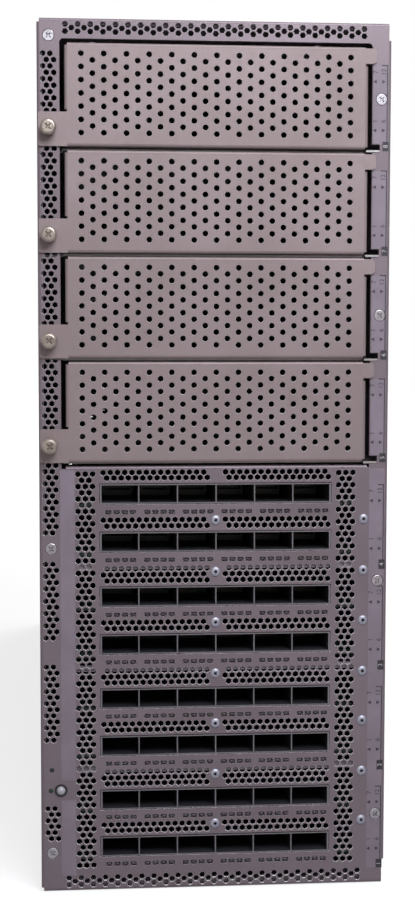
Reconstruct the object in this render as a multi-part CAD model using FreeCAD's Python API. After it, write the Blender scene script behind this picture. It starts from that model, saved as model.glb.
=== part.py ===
import FreeCAD, Part
import math
import os

# Modular chassis switch, four rack units high, with four expansion slots and 48 fixed ports.
# It stands on one narrow side, the way it is lifted and stored before it goes into a rack.
#   X  across the switch's height: the top cover is at -X, the floor at +X
#   Y  along its depth: the port side faces -Y, the fans and power supplies face +Y
#   Z  across its rack width, upwards
# Millimetres. The origin is at the middle of the footprint, on the surface it stands on.

V = FreeCAD.Vector

# ---------------------------------------------------------------- driving dimensions
RACK_HEIGHT = 177.0          # four rack units, less the clearance between neighbours
RACK_WIDTH = 439.4           # body width that passes between 19-inch rack posts
BODY_DEPTH = 762.0           # front of the bezel to the rear frame
THUMBSCREW_REACH = 9.0       # how far a thumbscrew stands out in front of the bezel
HANDLE_REACH = 30.0          # how far the handles stand out behind the rear frame

WALL = 1.5                   # sheet of the chassis base
COVER_SHEET = 1.2            # sheet of the top cover
BEZEL_SHEET = 1.2            # sheet of the front bezel
PANEL_SHEET = 1.0            # sheet of the dividers and partitions
BEND_RADIUS = 1.5            # outside radius of every sheet bend
SEAT_GAP = 0.2               # gap between sheets that lie on each other
EDGE_GAP = 0.3               # gap between an edge and its neighbour
FLANGE_DEPTH = 14.0          # how far the bezel's flanges run back

SLOT_PITCH = 52.3            # one expansion slot, or one pair of port rows
SLOT_COUNT = 4
PAIR_COUNT = 4
TOP_MARGIN = 10.9            # from the top side to the first slot
STRIP_WIDTH = 11.2           # vent strip on the cover side of the slots
LABEL_STRIP = 9.6            # label strip on the floor side of the slots

PORTS_PER_ROW = 6
PORT_PITCH = 19.6
PORT_WALL = 1.3              # wall between two ports of a cage
PORT_CLEAR = 8.8             # clear height of a port
CAGE_SHEET = 0.6             # floor and roof of a cage
CAGE_DEPTH = 52.0
CAGE_SIDE_MARGIN = 30.3      # from the cover side of the switch to the cages
ROW_A = 15.3                 # first port row below the start of its pair
ROW_B = SLOT_PITCH - 12.6    # second port row below the start of its pair
BOARD = 2.4                  # thickness of every circuit board
CARD_DEPTH = 270.0           # port cards, from the bezel back to the midplane

FAN_COUNT = 4
FAN_DEPTH = 96.0
FAN_BORE = 47.0              # radius of the fan duct
ROTOR_GAP = 1.2              # blade tip to duct
HUB_RADIUS = 19.0
BLADE_COUNT = 7
SHAFT_RADIUS = 3.0
RUNNING_GAP = 0.05           # shaft in its bearing

POWER_COUNT = 4
POWER_WIDTH = 84.0
POWER_DEPTH = 320.0
POWER_BAY = 45.0             # height of the power-supply bay over the chassis floor

# ---------------------------------------------------------------- derived places
COVER_SIDE = -RACK_HEIGHT / 2
FLOOR_SIDE = RACK_HEIGHT / 2
FRONT = THUMBSCREW_REACH - (THUMBSCREW_REACH + BODY_DEPTH + HANDLE_REACH) / 2
REAR = FRONT + BODY_DEPTH
NECK = BEZEL_SHEET + SEAT_GAP            # step that lets the bezel lie flush on the chassis
BEZEL_BACK = FRONT + BEZEL_SHEET
FRAME_FRONT = BEZEL_BACK + SEAT_GAP
BODY_START = FRONT + FLANGE_DEPTH + EDGE_GAP
INNER_COVER = COVER_SIDE + COVER_SHEET
INNER_FLOOR = FLOOR_SIDE - WALL
SHELF = FLOOR_SIDE - POWER_BAY           # power shelf, over the supplies
PORTS_TOP = TOP_MARGIN + SLOT_COUNT * SLOT_PITCH
PORTS_END = PORTS_TOP + PAIR_COUNT * SLOT_PITCH
MIDPLANE = FRONT + CARD_DEPTH + 8.0


def across(distance):
    """X of a point at this distance from the switch's cover side."""
    return COVER_SIDE + distance


def down(distance):
    """Z of a point at this distance below the upper narrow side."""
    return RACK_WIDTH - distance


def row_centres():
    """Distances below the upper side of the eight port rows."""
    rows = []
    for pair in range(PAIR_COUNT):
        start = PORTS_TOP + pair * SLOT_PITCH
        rows += [start + ROW_A, start + ROW_B]
    return rows


# ---------------------------------------------------------------- shape helpers
def block(x0, x1, y0, y1, z0, z1):
    """Box between two opposite corners, in any order."""
    low = V(min(x0, x1), min(y0, y1), min(z0, z1))
    return Part.makeBox(abs(x1 - x0), abs(y1 - y0), abs(z1 - z0), low)


def rod(radius, start, length, direction):
    return Part.makeCylinder(radius, length, start, direction)


def fuse(shapes):
    """Union of overlapping shapes, with coplanar faces merged."""
    result = shapes[0]
    if len(shapes) > 1:
        result = shapes[0].multiFuse(shapes[1:])
    return result.removeSplitter()


def cut(shape, tools):
    return shape.cut(Part.makeCompound(tools))


def front_edges(shape, y, x_edges=None, z_edges=None):
    """Straight edges of a box that lie in the plane y, at the named X and Z sides."""
    found = []
    for edge in shape.Edges:
        box = edge.BoundBox
        if box.YMax - y > 0.01 or y - box.YMin > 0.01:
            continue
        if x_edges and any(abs(box.XMin - x) < 0.01 and abs(box.XMax - x) < 0.01 for x in x_edges):
            found.append(edge)
        if z_edges and any(abs(box.ZMin - z) < 0.01 and abs(box.ZMax - z) < 0.01 for z in z_edges):
            found.append(edge)
    return found


def folded_pan(x0, x1, y, depth, z0, z1, sheet, x_flanges=True, z_flanges=True):
    """Sheet folded back along its sides: a face at y with flanges that run towards +Y."""
    x_sides = [x0, x1] if x_flanges else None
    z_sides = [z0, z1] if z_flanges else None
    outer = block(x0, x1, y, y + depth, z0, z1)
    outer = outer.makeFillet(BEND_RADIUS, front_edges(outer, y, x_sides, z_sides))
    x_in = sheet if x_flanges else -1.0
    z_in = sheet if z_flanges else -1.0
    inner = block(x0 + x_in, x1 - x_in, y + sheet, y + depth + 1.0, z0 + z_in, z1 - z_in)
    inside = BEND_RADIUS - sheet
    x_sides = [x0 + x_in, x1 - x_in] if x_flanges else None
    z_sides = [z0 + z_in, z1 - z_in] if z_flanges else None
    inner = inner.makeFillet(inside, front_edges(inner, y + sheet, x_sides, z_sides))
    return outer.cut(inner)


def rounded_window(x0, x1, z0, z1, radius, y0, y1):
    """Cutter with rounded corners, through the sheet between y0 and y1."""
    tool = block(x0, x1, y0, y1, z0, z1)
    corners = [e for e in tool.Edges if e.BoundBox.YLength > 0.5 * abs(y1 - y0)]
    return tool.makeFillet(radius, corners)


def line(start, end):
    return Part.LineSegment(start, end).toShape()


def bent_edge(start, end, y, depth, sheet, outward):
    """Bend and leg of a flange along a plate's edge, from start to end."""
    radius = BEND_RADIUS
    inside = radius - sheet
    share = math.sqrt(0.5)

    def at(out, back):
        return start + outward * out + V(0, y + back, 0)

    outer = Part.Arc(at(-radius, 0), at(radius * (share - 1), radius * (1 - share)),
                     at(0, radius))
    inner = Part.Arc(at(-sheet, radius), at(inside * share - radius, radius - inside * share),
                     at(-radius, sheet))
    outline = Part.Wire([outer.toShape(), line(at(0, radius), at(0, depth)),
                         line(at(0, depth), at(-sheet, depth)),
                         line(at(-sheet, depth), at(-sheet, radius)), inner.toShape(),
                         line(at(-radius, sheet), at(-radius, 0))])
    return Part.Face(outline).extrude(end - start)


def save(name, shapes):
    """Writes one node's solids to its STEP file."""
    solids = []
    for shape in shapes if isinstance(shapes, list) else [shapes]:
        solids += shape.Solids
    for solid in solids:
        if not solid.isValid() or solid.Volume <= 0:
            raise ValueError("bad solid in " + name)
    result = solids[0] if len(solids) == 1 else Part.makeCompound(solids)
    result.exportStep("parts/" + name + ".step")
    print(name, len(solids), round(sum(s.Volume for s in solids)))


# ---------------------------------------------------------------- chassis
RACK_HOLE = 2.1              # M4 clearance in the sides, for rack brackets
RACK_HOLE_ROWS = 120.0       # across the switch's height
RACK_HOLE_STEP = 40.0        # along its depth
RACK_HOLE_FRONT = 60.0       # first hole behind the bezel's front
RACK_HOLE_REAR = 100.0       # last pair of holes before the rear frame
LUG_HOLE = 2.6               # earthing lug, two M5 holes
LUG_SPACING = 15.88
LIP = 12.0                   # lips of the top cover, inside the side walls


def channel(inset, y0, y1):
    """Floor and two side walls of the base, set in from the outline by inset."""
    x0 = INNER_COVER + EDGE_GAP + inset
    outer = block(x0, FLOOR_SIDE - inset, y0, y1, inset, RACK_WIDTH - inset)
    inner = block(x0 - 1.0, INNER_FLOOR - inset, y0 - 1.0, y1 + 1.0, inset + WALL,
                  RACK_WIDTH - inset - WALL)
    return outer.cut(inner)


def rack_hole_places():
    """Y of the four rows of bracket holes along each side."""
    front = FRONT + RACK_HOLE_FRONT
    rear = REAR - RACK_HOLE_REAR
    return [front, front + RACK_HOLE_STEP, rear - RACK_HOLE_STEP, rear]


def make_chassis_base():
    body = channel(0.0, BODY_START, REAR)
    neck = channel(NECK, FRAME_FRONT + WALL, BODY_START + WALL)
    base = fuse([body, neck])
    holes = []
    for y in rack_hole_places():
        for x in (-RACK_HOLE_ROWS / 2, RACK_HOLE_ROWS / 2):
            holes.append(rod(RACK_HOLE, V(x, y, -1), RACK_WIDTH + 2, V(0, 0, 1)))
    for step in (0, LUG_SPACING):
        y = REAR - RACK_HOLE_REAR / 2 + step
        holes.append(rod(LUG_HOLE, V(0, y, RACK_WIDTH - 2 * WALL), 4 * WALL, V(0, 0, 1)))
    return cut(base, holes)


def make_top_cover():
    """Flat sheet over the whole depth, with lips folded down inside the side walls."""
    plate = block(COVER_SIDE, INNER_COVER, BODY_START, REAR, 0, RACK_WIDTH)
    neck = block(COVER_SIDE + NECK, INNER_COVER + NECK, FRAME_FRONT + WALL, BODY_START, NECK,
                 RACK_WIDTH - NECK)
    lip_in = WALL + SEAT_GAP
    link = block(COVER_SIDE, INNER_COVER + NECK, BODY_START, BODY_START + WALL, lip_in,
                 RACK_WIDTH - lip_in)
    pieces = [plate, neck, link]
    for z0, z1 in ((lip_in, lip_in + COVER_SHEET),
                   (RACK_WIDTH - lip_in - COVER_SHEET, RACK_WIDTH - lip_in)):
        pieces.append(block(COVER_SIDE, COVER_SIDE + LIP, BODY_START + 3 * NECK,
                            REAR - 2 * WALL, z0, z1))
    return fuse(pieces)


# ---------------------------------------------------------------- front bezel and frame
STRIP_SCREWS = [8.5, 263.0, 419.5]           # down the vent strip
LABEL_SCREWS = [37.5, 145.5, 281.0, 403.0]   # down the label strip
STRIP_SCREW_IN = 5.8                         # from the cover side
LABEL_SCREW_IN = 4.8                         # from the floor side
SCREW_HEAD = 2.9                             # head radius of the countersunk M3 screws
SCREW_SHANK = 1.5
SCREW_LENGTH = 8.0
SCREW_GAP = 0.05                             # round every screw and rivet
FLOOR_CORNER_TOP = 8.5                       # the floor-side flange stops short of both corners
FLOOR_CORNER_END = 12.4
CORNER_RELIEF = 2.0
WINDOW_RADIUS = 2.0
TONGUE_SLOT = 4.0                            # notch in the label strip beside each divider
TONGUE_REACH = 3.9                           # divider tongue past the slot window
COVER_END = SLOT_PITCH - 1.3                 # slot cover's lower edge, below the slot's start
EAR_END = COVER_END                          # its ear, for the thumbscrew
EAR_TOP = EAR_END - 16.2
THUMB_IN = 5.5                               # thumbscrew from the cover side
THUMB_SHANK = 2.0
LAMP_RADIUS = 1.2
LAMP_PLACES = [(5.6, 376.5), (5.0, 387.2)]   # status lamp and locator lamp
BUTTON_PLACE = (10.1, 387.0)
BUSHING_RADIUS = 3.2
BUSHING_FLANGE = 4.0
BUTTON_RADIUS = 2.2
BUTTON_TRAVEL = 1.5
STRIP_VENTS = [(16.0, 256.8), (269.8, 310.6), (322.6, 362.9), (395.6, 414.0)]
BAND_VENT = 7.0                              # height of the vent bands at both ends
BAND_EDGE = 1.6                              # from the narrow side to a vent band
WINDOW_RISE = 0.9                            # slot window above the first slot
WINDOW_DROP = 1.8                            # and below the last one
FOLD_LEFT = 2.2                              # fold under the slots, from the window's left
FOLD_RIGHT = 1.0                             # and from its right
FOLD_DEPTH = 9.0
TONGUE_RISE = 3.3                            # notch above its divider
TONGUE_DROP = 0.8                            # and below it
FRAME_PORT_SIDE = 17.6                       # port window of the frame, from the cover side
FRAME_SIDE = 15.5                            # and from the floor side
FRAME_BAR = 0.5                              # its lower edge past the last port row's bay
STRIP_TIE = 1.0                              # frame left between a strip vent and the slots
LAMP_RISE = 4.0                              # frame's opening above the status lamp
LAMP_DROP = 5.0                              # and below the locator lamp

SLOT_LEFT = across(STRIP_WIDTH)
SLOT_RIGHT = across(RACK_HEIGHT - LABEL_STRIP)
SLOT_TOP = TOP_MARGIN - WINDOW_RISE
SLOT_END = PORTS_TOP + WINDOW_DROP
THUMB_DOWN = (EAR_TOP + EAR_END) / 2


def bezel_screw_places():
    """(x, z) of the countersunk screws of the bezel."""
    places = [(across(STRIP_SCREW_IN), down(d)) for d in STRIP_SCREWS]
    places += [(FLOOR_SIDE - LABEL_SCREW_IN, down(d)) for d in LABEL_SCREWS]
    return places


def slot_start(slot):
    return TOP_MARGIN + slot * SLOT_PITCH


def thumb_places():
    return [(across(THUMB_IN), down(slot_start(k) + THUMB_DOWN)) for k in range(SLOT_COUNT)]


def tongue_slots(y0, y1):
    """Notches beside the slot window that the divider tongues reach through."""
    tools = []
    for k in range(1, SLOT_COUNT + 1):
        level = slot_start(k)
        tools.append(block(SLOT_RIGHT - 1, SLOT_RIGHT + TONGUE_SLOT, y0, y1,
                           down(level - TONGUE_RISE), down(level + TONGUE_DROP)))
    return tools


def slot_window(y0, y1):
    """Window for the covers, square at its lower end, where the sheet folds back."""
    low, high = down(SLOT_END + BEND_RADIUS), down(SLOT_TOP)
    tool = block(SLOT_LEFT, SLOT_RIGHT, y0, y1, low, high)
    corners = [e for e in tool.Edges if e.BoundBox.YLength > 1 and e.BoundBox.ZMin > high - 0.1]
    return tool.makeFillet(WINDOW_RADIUS, corners)


def cage_windows(y0, y1):
    """Openings that the ganged cages reach through."""
    x0 = across(CAGE_SIDE_MARGIN) - EDGE_GAP
    x1 = across(CAGE_SIDE_MARGIN + PORTS_PER_ROW * PORT_PITCH) + EDGE_GAP
    half = CAGE_HALF + EDGE_GAP
    return [block(x0, x1, y0, y1, down(d + half), down(d - half)) for d in row_centres()]


def make_front_bezel():
    """One sheet over the whole front, folded back along its outline and under the slots."""
    pan = folded_pan(COVER_SIDE, FLOOR_SIDE, FRONT, FLANGE_DEPTH, 0, RACK_WIDTH, BEZEL_SHEET)
    y0, y1 = FRONT - 1, BEZEL_BACK + 1
    back = FRONT + FLANGE_DEPTH + 1
    edge = BEZEL_SHEET + 0.1
    tools = [
        slot_window(y0, y1),
        block(FLOOR_SIDE - edge, FLOOR_SIDE + 1, y0, back, down(FLOOR_CORNER_TOP), down(-1)),
        block(FLOOR_SIDE - edge, FLOOR_SIDE + 1, y0, back, -1, FLOOR_CORNER_END),
        block(COVER_SIDE - 1, COVER_SIDE + edge, y0, back, down(CORNER_RELIEF), down(-1)),
        block(COVER_SIDE - 1, COVER_SIDE + edge, y0, back, -1, CORNER_RELIEF),
    ]
    tools += tongue_slots(y0, y1) + cage_windows(y0, y1)
    axis = V(0, 1, 0)
    tools += [countersunk_screw(x, FRONT, z, axis, SCREW_GAP) for x, z in bezel_screw_places()]
    for x, z in thumb_places():
        tools.append(rod(THUMB_SHANK + EDGE_GAP, V(x, y0, z), 4, axis))
    for place in LAMP_PLACES:
        tools.append(rod(LAMP_RADIUS, V(across(place[0]), y0, down(place[1])), 4, axis))
    tools.append(rod(BUSHING_RADIUS, V(across(BUTTON_PLACE[0]), y0, down(BUTTON_PLACE[1])),
                     4, axis))
    for x, z in rivet_places():
        tools.append(rod(RIVET_SHANK + SCREW_GAP, V(x, y0, z), 4, axis))
    fold = bent_edge(V(SLOT_LEFT + FOLD_LEFT, 0, down(SLOT_END)),
                     V(SLOT_RIGHT - FOLD_RIGHT, 0, down(SLOT_END)),
                     FRONT, FOLD_DEPTH, BEZEL_SHEET, V(0, 0, 1))
    return fuse([cut(pan, tools), fold])


def make_front_frame():
    """Flat frame behind the bezel that carries its screws and the nuts of the thumbscrews."""
    y0, y1 = FRAME_FRONT, FRAME_FRONT + WALL
    plate = block(COVER_SIDE + NECK, FLOOR_SIDE - NECK, y0, y1, NECK, RACK_WIDTH - NECK)
    a, b = y0 - 1, y1 + 1
    lamp_low = down(LAMP_PLACES[1][1] + LAMP_DROP)
    lamp_high = down(LAMP_PLACES[0][1] - LAMP_RISE)
    lamp_side = across(BUTTON_PLACE[0] + BUSHING_FLANGE + EDGE_GAP)
    tools = [
        block(SLOT_LEFT, SLOT_RIGHT, a, b, down(SLOT_END + BEZEL_SHEET + EDGE_GAP),
              down(SLOT_TOP)),
        block(across(FRAME_PORT_SIDE), FLOOR_SIDE - FRAME_SIDE, a, b, down(SLOT_END),
              down(PORTS_END + FRAME_BAR)),
        block(SLOT_LEFT, SLOT_RIGHT - 1, a, b, down(BAND_EDGE), down(BAND_EDGE + BAND_VENT)),
        block(SLOT_LEFT, SLOT_RIGHT - 1, a, b, BAND_EDGE, BAND_EDGE + BAND_VENT),
        block(COVER_SIDE, lamp_side, a, b, lamp_low, lamp_high),
    ]
    tools += tongue_slots(a, b)
    strip_end = SLOT_LEFT - STRIP_TIE
    for start, end in STRIP_VENTS:
        tools.append(block(COVER_SIDE, strip_end, a, b, down(start), down(end)))
    plate = cut(plate, tools)
    tabs = [plate]
    for k in range(SLOT_COUNT):
        top = slot_start(k)
        tabs.append(block(COVER_SIDE + NECK, SLOT_LEFT, y0, y1, down(top + EAR_TOP + 1),
                          down(top + EAR_END - 1)))
    plate = fuse(tabs)
    axis = V(0, 1, 0)
    radius = SCREW_SHANK + SCREW_GAP
    holes = [rod(radius, V(x, a, z), 4, axis) for x, z in bezel_screw_places()]
    holes += [rod(THUMB_SHANK + SEAT_GAP, V(x, a, z), 4, axis) for x, z in thumb_places()]
    radius = RIVET_SHANK + SCREW_GAP
    holes += [rod(radius, V(x, a, z), 4, axis) for x, z in rivet_places()[1::2]]
    return cut(plate, holes)


# ---------------------------------------------------------------- rivets
RIVET_HEAD = 2.6
RIVET_SHANK = 1.6
RIVET_DOME = 0.9             # head in front of the bezel
RIVET_LENGTH = 3.5
RIVET_MIDDLE = 88.9          # from the cover side, between the two halves of the vents
RIVET_SIDE = 12.2            # from the floor side
RIVET_A = ROW_B - 10.8       # first rivet row of a pair, below its start
RIVET_B = 3.0                # second, below the start of the next pair


def rivet_places():
    """(x, z) of the blind rivets, middle and side by turns, from the top down."""
    levels = []
    for pair in range(PAIR_COUNT):
        start = PORTS_TOP + pair * SLOT_PITCH
        if pair:
            levels.append(start + RIVET_B)
        levels.append(start + RIVET_A)
    columns = (across(RIVET_MIDDLE), FLOOR_SIDE - RIVET_SIDE)
    return [(x, down(d)) for d in levels for x in columns]


def make_rivets():
    """Blind rivets through the bezel: a low head in front and a shank."""
    shapes = []
    for x, z in rivet_places():
        head = rod(RIVET_HEAD, V(x, FRONT - RIVET_DOME, z), RIVET_DOME, V(0, 1, 0))
        shank = rod(RIVET_SHANK, V(x, FRONT - RIVET_DOME, z), RIVET_DOME + RIVET_LENGTH,
                    V(0, 1, 0))
        shapes.append(fuse([head, shank]))
    return shapes


# ---------------------------------------------------------------- ports
CONNECTOR_START = 37.0       # behind the bezel's front
CONNECTOR_DEPTH = 12.0
CONNECTOR_HEIGHT = 6.6
CAGE_FRONT = FRONT - 0.2
CARD_SIDE = 18.2             # cover-side edge of a port card
CARD_END = 161.0
PLUG_WIDTH = 70.0            # backplane plug of a card
PLUG_DEPTH = 26.0
PLUG_HEIGHT = 9.0
CONNECTOR_SIDE = 0.8         # opening of the cage's floor, from the sides of a port
CONNECTOR_WALL = 1.3         # connector body from the sides of a port
CONNECTOR_MOUTH = (2.6, 3.4, 4.8)            # from the port's sides, and up from the board
CONNECTOR_BACK = 4.0         # solid part behind the mouth
CARD_SETBACK = 3.0           # board's front edge behind the bezel's front
BRACKET_SHEET = 1.0
BRACKET_STEM = 2.0           # width of the bent tab under a card
BRACKET_SHIFT = 0.9          # its middle beside the rivet, clear of the light pipes
BRACKET_FOOT = 9.0
BRACKET_PAD = (2.8, 2.6)     # half width and half height round the rivet
CAGE_HALF = PORT_CLEAR / 2 + CAGE_SHEET


def port_left(port):
    """X of the cover-side inner face of a port."""
    return across(CAGE_SIDE_MARGIN + port * PORT_PITCH + PORT_WALL / 2)


def make_port_cage(level):
    """Ganged cage: six ports side by side, closed behind, open below for the connectors."""
    width = PORTS_PER_ROW * PORT_PITCH
    z = down(level)
    clear = PORT_PITCH - PORT_WALL
    cage = block(across(CAGE_SIDE_MARGIN), across(CAGE_SIDE_MARGIN + width), CAGE_FRONT,
                 CAGE_FRONT + CAGE_DEPTH, z - CAGE_HALF, z + CAGE_HALF)
    tools = []
    for port in range(PORTS_PER_ROW):
        x = port_left(port)
        tools.append(block(x, x + clear, CAGE_FRONT - 1, CAGE_FRONT + CAGE_DEPTH - PORT_WALL,
                           z - PORT_CLEAR / 2, z + PORT_CLEAR / 2))
        tools.append(block(x + CONNECTOR_SIDE, x + clear - CONNECTOR_SIDE,
                           FRONT + CONNECTOR_START - 1, CAGE_FRONT + CAGE_DEPTH - PORT_WALL,
                           z - CAGE_HALF - 1, z))
    return cut(cage, tools)


def make_card_bracket(k):
    """Bent tab under the first card of a pair, for the middle rivet of its row."""
    x, z = rivet_places()[2 * k]
    y0, y1 = BEZEL_BACK, BEZEL_BACK + BRACKET_SHEET
    board = down(row_centres()[k]) - CAGE_HALF - BOARD
    x0 = x + BRACKET_SHIFT - BRACKET_STEM / 2
    x1 = x0 + BRACKET_STEM
    wide, high = BRACKET_PAD
    foot = block(x0, x1, y0, y0 + BRACKET_FOOT, board - BRACKET_SHEET, board)
    stem = block(x0, x1, y0, y1, z, board)
    pad = block(x - wide, x + wide, y0, y1, z - high, z + high)
    tab = fuse([foot, stem, pad])
    return tab.cut(rod(RIVET_SHANK + SCREW_GAP, V(x, y0 - 1, z), 4, V(0, 1, 0)))


def make_port_card(k):
    """Board under a cage with its connectors, backplane plug and the tab for its rivet."""
    level = row_centres()[k]
    top = down(level) - CAGE_HALF
    board = block(across(CARD_SIDE), across(CARD_END), FRONT + CARD_SETBACK,
                  MIDPLANE - EDGE_GAP, top - BOARD, top)
    solids = [board]
    y0 = FRONT + CONNECTOR_START
    y1 = y0 + CONNECTOR_DEPTH
    clear = PORT_PITCH - PORT_WALL
    side, low, high = CONNECTOR_MOUTH
    for port in range(PORTS_PER_ROW):
        x = port_left(port)
        body = block(x + CONNECTOR_WALL, x + clear - CONNECTOR_WALL, y0, y1, top,
                     top + CONNECTOR_HEIGHT)
        mouth = block(x + side, x + clear - side, y0 - 1, y1 - CONNECTOR_BACK, top + low,
                      top + high)
        solids.append(body.cut(mouth))
    middle = across((CARD_SIDE + CARD_END) / 2)
    solids.append(block(middle - PLUG_WIDTH / 2, middle + PLUG_WIDTH / 2,
                        MIDPLANE - PLUG_DEPTH, MIDPLANE, top, top + PLUG_HEIGHT))
    if k % 2 == 0:
        solids.append(make_card_bracket(k))
    return solids


LAMP_GROUP = 16.2            # one moulded finger lights the four lamps of a port
LAMP_SHIFT = 0.7             # middle of the group, from the middle of its port
LAMP_LEVEL = 9.3             # lamps below the centre of their row
LAMP_HEIGHT = 2.6
PIPE_BAR = 14.0              # cross bar of the light pipes, behind the bezel's front
PIPE_BAR_DEPTH = 4.0


def make_light_pipes():
    """One clear moulding per row: a bar on the card and six fingers to the bezel."""
    shapes = []
    for level in row_centres():
        low = down(level + LAMP_LEVEL + LAMP_HEIGHT / 2)
        board = down(level) - CAGE_HALF - BOARD
        x0 = port_left(0)
        x1 = port_left(PORTS_PER_ROW - 1) + PORT_PITCH - PORT_WALL
        parts = [block(x0, x1, FRONT + PIPE_BAR, FRONT + PIPE_BAR + PIPE_BAR_DEPTH, low, board)]
        for port in range(PORTS_PER_ROW):
            middle = port_left(port) + (PORT_PITCH - PORT_WALL) / 2 + LAMP_SHIFT
            parts.append(block(middle - LAMP_GROUP / 2, middle + LAMP_GROUP / 2,
                               BEZEL_BACK + EDGE_GAP, FRONT + PIPE_BAR + 1, low,
                               low + LAMP_HEIGHT))
        shapes.append(fuse(parts))
    return shapes


# ---------------------------------------------------------------- dividers and partitions
DIVIDER_SETBACK = 8.0        # divider's front edge behind the bezel's front
RAIL_HEIGHT = 3.2            # folded front edge of a partition between port cards
RAIL_DEPTH = 12.0
RIVET_PAD = 2.8              # tab on the rail round a rivet
FOOT_WIDTH = 10.0            # lip on the chassis floor
FOOT_SETBACK = 12.0          # lip's ends from the neck and from the midplane
NECK_CLEAR = 1.3             # narrow front part from the slot window's sides
TONGUE_ROOT = 3.0            # tongue laps the narrow part
TONGUE_BACK = 4.0


def make_partition(level, side):
    """Sheet between two bays, from the front to the midplane, with a lip on the floor."""
    z0 = down(level) - PANEL_SHEET / 2
    z1 = z0 + PANEL_SHEET
    wide = block(INNER_COVER + EDGE_GAP, INNER_FLOOR, BODY_START + 2 * NECK + WALL, MIDPLANE,
                 z0, z1)
    narrow = block(side, SLOT_RIGHT - NECK_CLEAR, FRONT + DIVIDER_SETBACK,
                   BODY_START + FOOT_SETBACK, z0, z1)
    foot = block(INNER_FLOOR - PANEL_SHEET, INNER_FLOOR, BODY_START + FOOT_SETBACK,
                 MIDPLANE - FOOT_SETBACK, z0 - FOOT_WIDTH, z1)
    return [wide, narrow, foot]


def make_slot_dividers():
    """Bare sheet between the expansion slots, each with a tongue through the bezel."""
    shapes = []
    for k in range(1, SLOT_COUNT + 1):
        level = slot_start(k)
        parts = make_partition(level, SLOT_LEFT + NECK_CLEAR)
        parts.append(block(SLOT_RIGHT - TONGUE_ROOT, SLOT_RIGHT + TONGUE_REACH, FRONT,
                           FRONT + DIVIDER_SETBACK + TONGUE_BACK,
                           down(level) - PANEL_SHEET / 2, down(level) + PANEL_SHEET / 2))
        shapes.append(fuse(parts))
    return shapes


def make_card_partitions():
    """Sheet between the pairs of port cards, folded into a rail behind the bezel."""
    shapes = []
    for pair in range(1, PAIR_COUNT):
        level = PORTS_TOP + pair * SLOT_PITCH
        parts = make_partition(level, across(CARD_SIDE))
        z = down(level)
        y0 = BEZEL_BACK + EDGE_GAP
        x0, x1 = across(CARD_SIDE), across(CARD_END)
        hollow = block(x0 - 1, x1 + 1, y0 + PANEL_SHEET, y0 + RAIL_DEPTH + 1,
                       z - RAIL_HEIGHT / 2 + PANEL_SHEET, z + RAIL_HEIGHT / 2 + 1)
        rail = block(x0, x1, y0, y0 + RAIL_DEPTH, z - RAIL_HEIGHT / 2, z + RAIL_HEIGHT / 2)
        link = block(x0, x1, y0 + RAIL_DEPTH - PANEL_SHEET, y0 + RAIL_DEPTH,
                     z - RAIL_HEIGHT / 2, z + PANEL_SHEET / 2)
        parts += [rail.cut(hollow), link]
        x, low = across(RIVET_MIDDLE), down(level + RIVET_B)
        parts.append(block(x - RIVET_PAD, x + RIVET_PAD, y0, y0 + PANEL_SHEET,
                           low - RIVET_PAD, z))
        hole = rod(RIVET_SHANK + SCREW_GAP, V(x, y0 - 1, low), 4, V(0, 1, 0))
        shapes.append(fuse(parts).cut(hole))
    return shapes


# ---------------------------------------------------------------- slot covers
COVER_IN = 2.3               # cover's edge inside the slot window, cover side
COVER_TOP = 1.3              # below the slot's start
COVER_DEPTH = 7.0
EAR_EDGE = 0.5               # ear's outer edge from the cover side
TAB_REACH = 4.3              # tab past the cover's edge, over the label strip
TAB_START = 1.7
TAB_END = 9.4
TAB_RADIUS = 2.2
EAR_RADIUS = 0.8
ROOT_LAP = 3.0               # ear and tab run on into the cover's face
RELIEF = 1.2                 # notch between a flange and what stands beside it
COVER_GAP = 0.1              # between the bezel and the ears and tabs that lie on it
COVER_FACE = FRONT - COVER_GAP - BEZEL_SHEET


def make_slot_cover(slot):
    """Filler panel with four flanges, an ear for the thumbscrew and a tab that hooks over."""
    start = slot_start(slot)
    x0, x1 = SLOT_LEFT + COVER_IN, SLOT_RIGHT - COVER_IN
    z0, z1 = down(start + COVER_END), down(start + COVER_TOP)
    y, back = COVER_FACE, COVER_FACE + BEZEL_SHEET
    ear_top, tab_end = down(start + EAR_TOP), down(start + TAB_END)
    bend = BEND_RADIUS
    root = bend + ROOT_LAP
    plate = block(x0 + bend, x1 - bend, y, back, z0 + bend, z1 - bend)
    ear = rounded_window(across(EAR_EDGE), x0 + root, z0, ear_top, EAR_RADIUS, y, back)
    tab = rounded_window(x1 - root, x1 + TAB_REACH, tab_end, down(start + TAB_START),
                         TAB_RADIUS, y, back)
    ear = ear.cut(block(x0 + bend - RELIEF, x0 + root + 1, y - 1, back + 1, z0 - 1, z0 + bend))
    tab = tab.cut(block(x1 - root - 1, x1 - bend + RELIEF, y - 1, back + 1, z1 - bend, z1 + 1))
    edges = [
        (V(x0 + bend, 0, z1), V(x1 - bend, 0, z1), V(0, 0, 1)),
        (V(x0 + bend, 0, z0), V(x1 - bend, 0, z0), V(0, 0, -1)),
        (V(x0, 0, ear_top + RELIEF), V(x0, 0, z1 - bend), V(-1, 0, 0)),
        (V(x1, 0, z0 + bend), V(x1, 0, tab_end - RELIEF), V(1, 0, 0)),
    ]
    flanges = [bent_edge(a, b, y, COVER_DEPTH, BEZEL_SHEET, out) for a, b, out in edges]
    x, z = thumb_places()[slot]
    hole = rod(THUMB_SHANK + RUNNING_GAP, V(x, y - 1, z), 4, V(0, 1, 0))
    return fuse([plate, ear, tab] + flanges).cut(hole)


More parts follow.
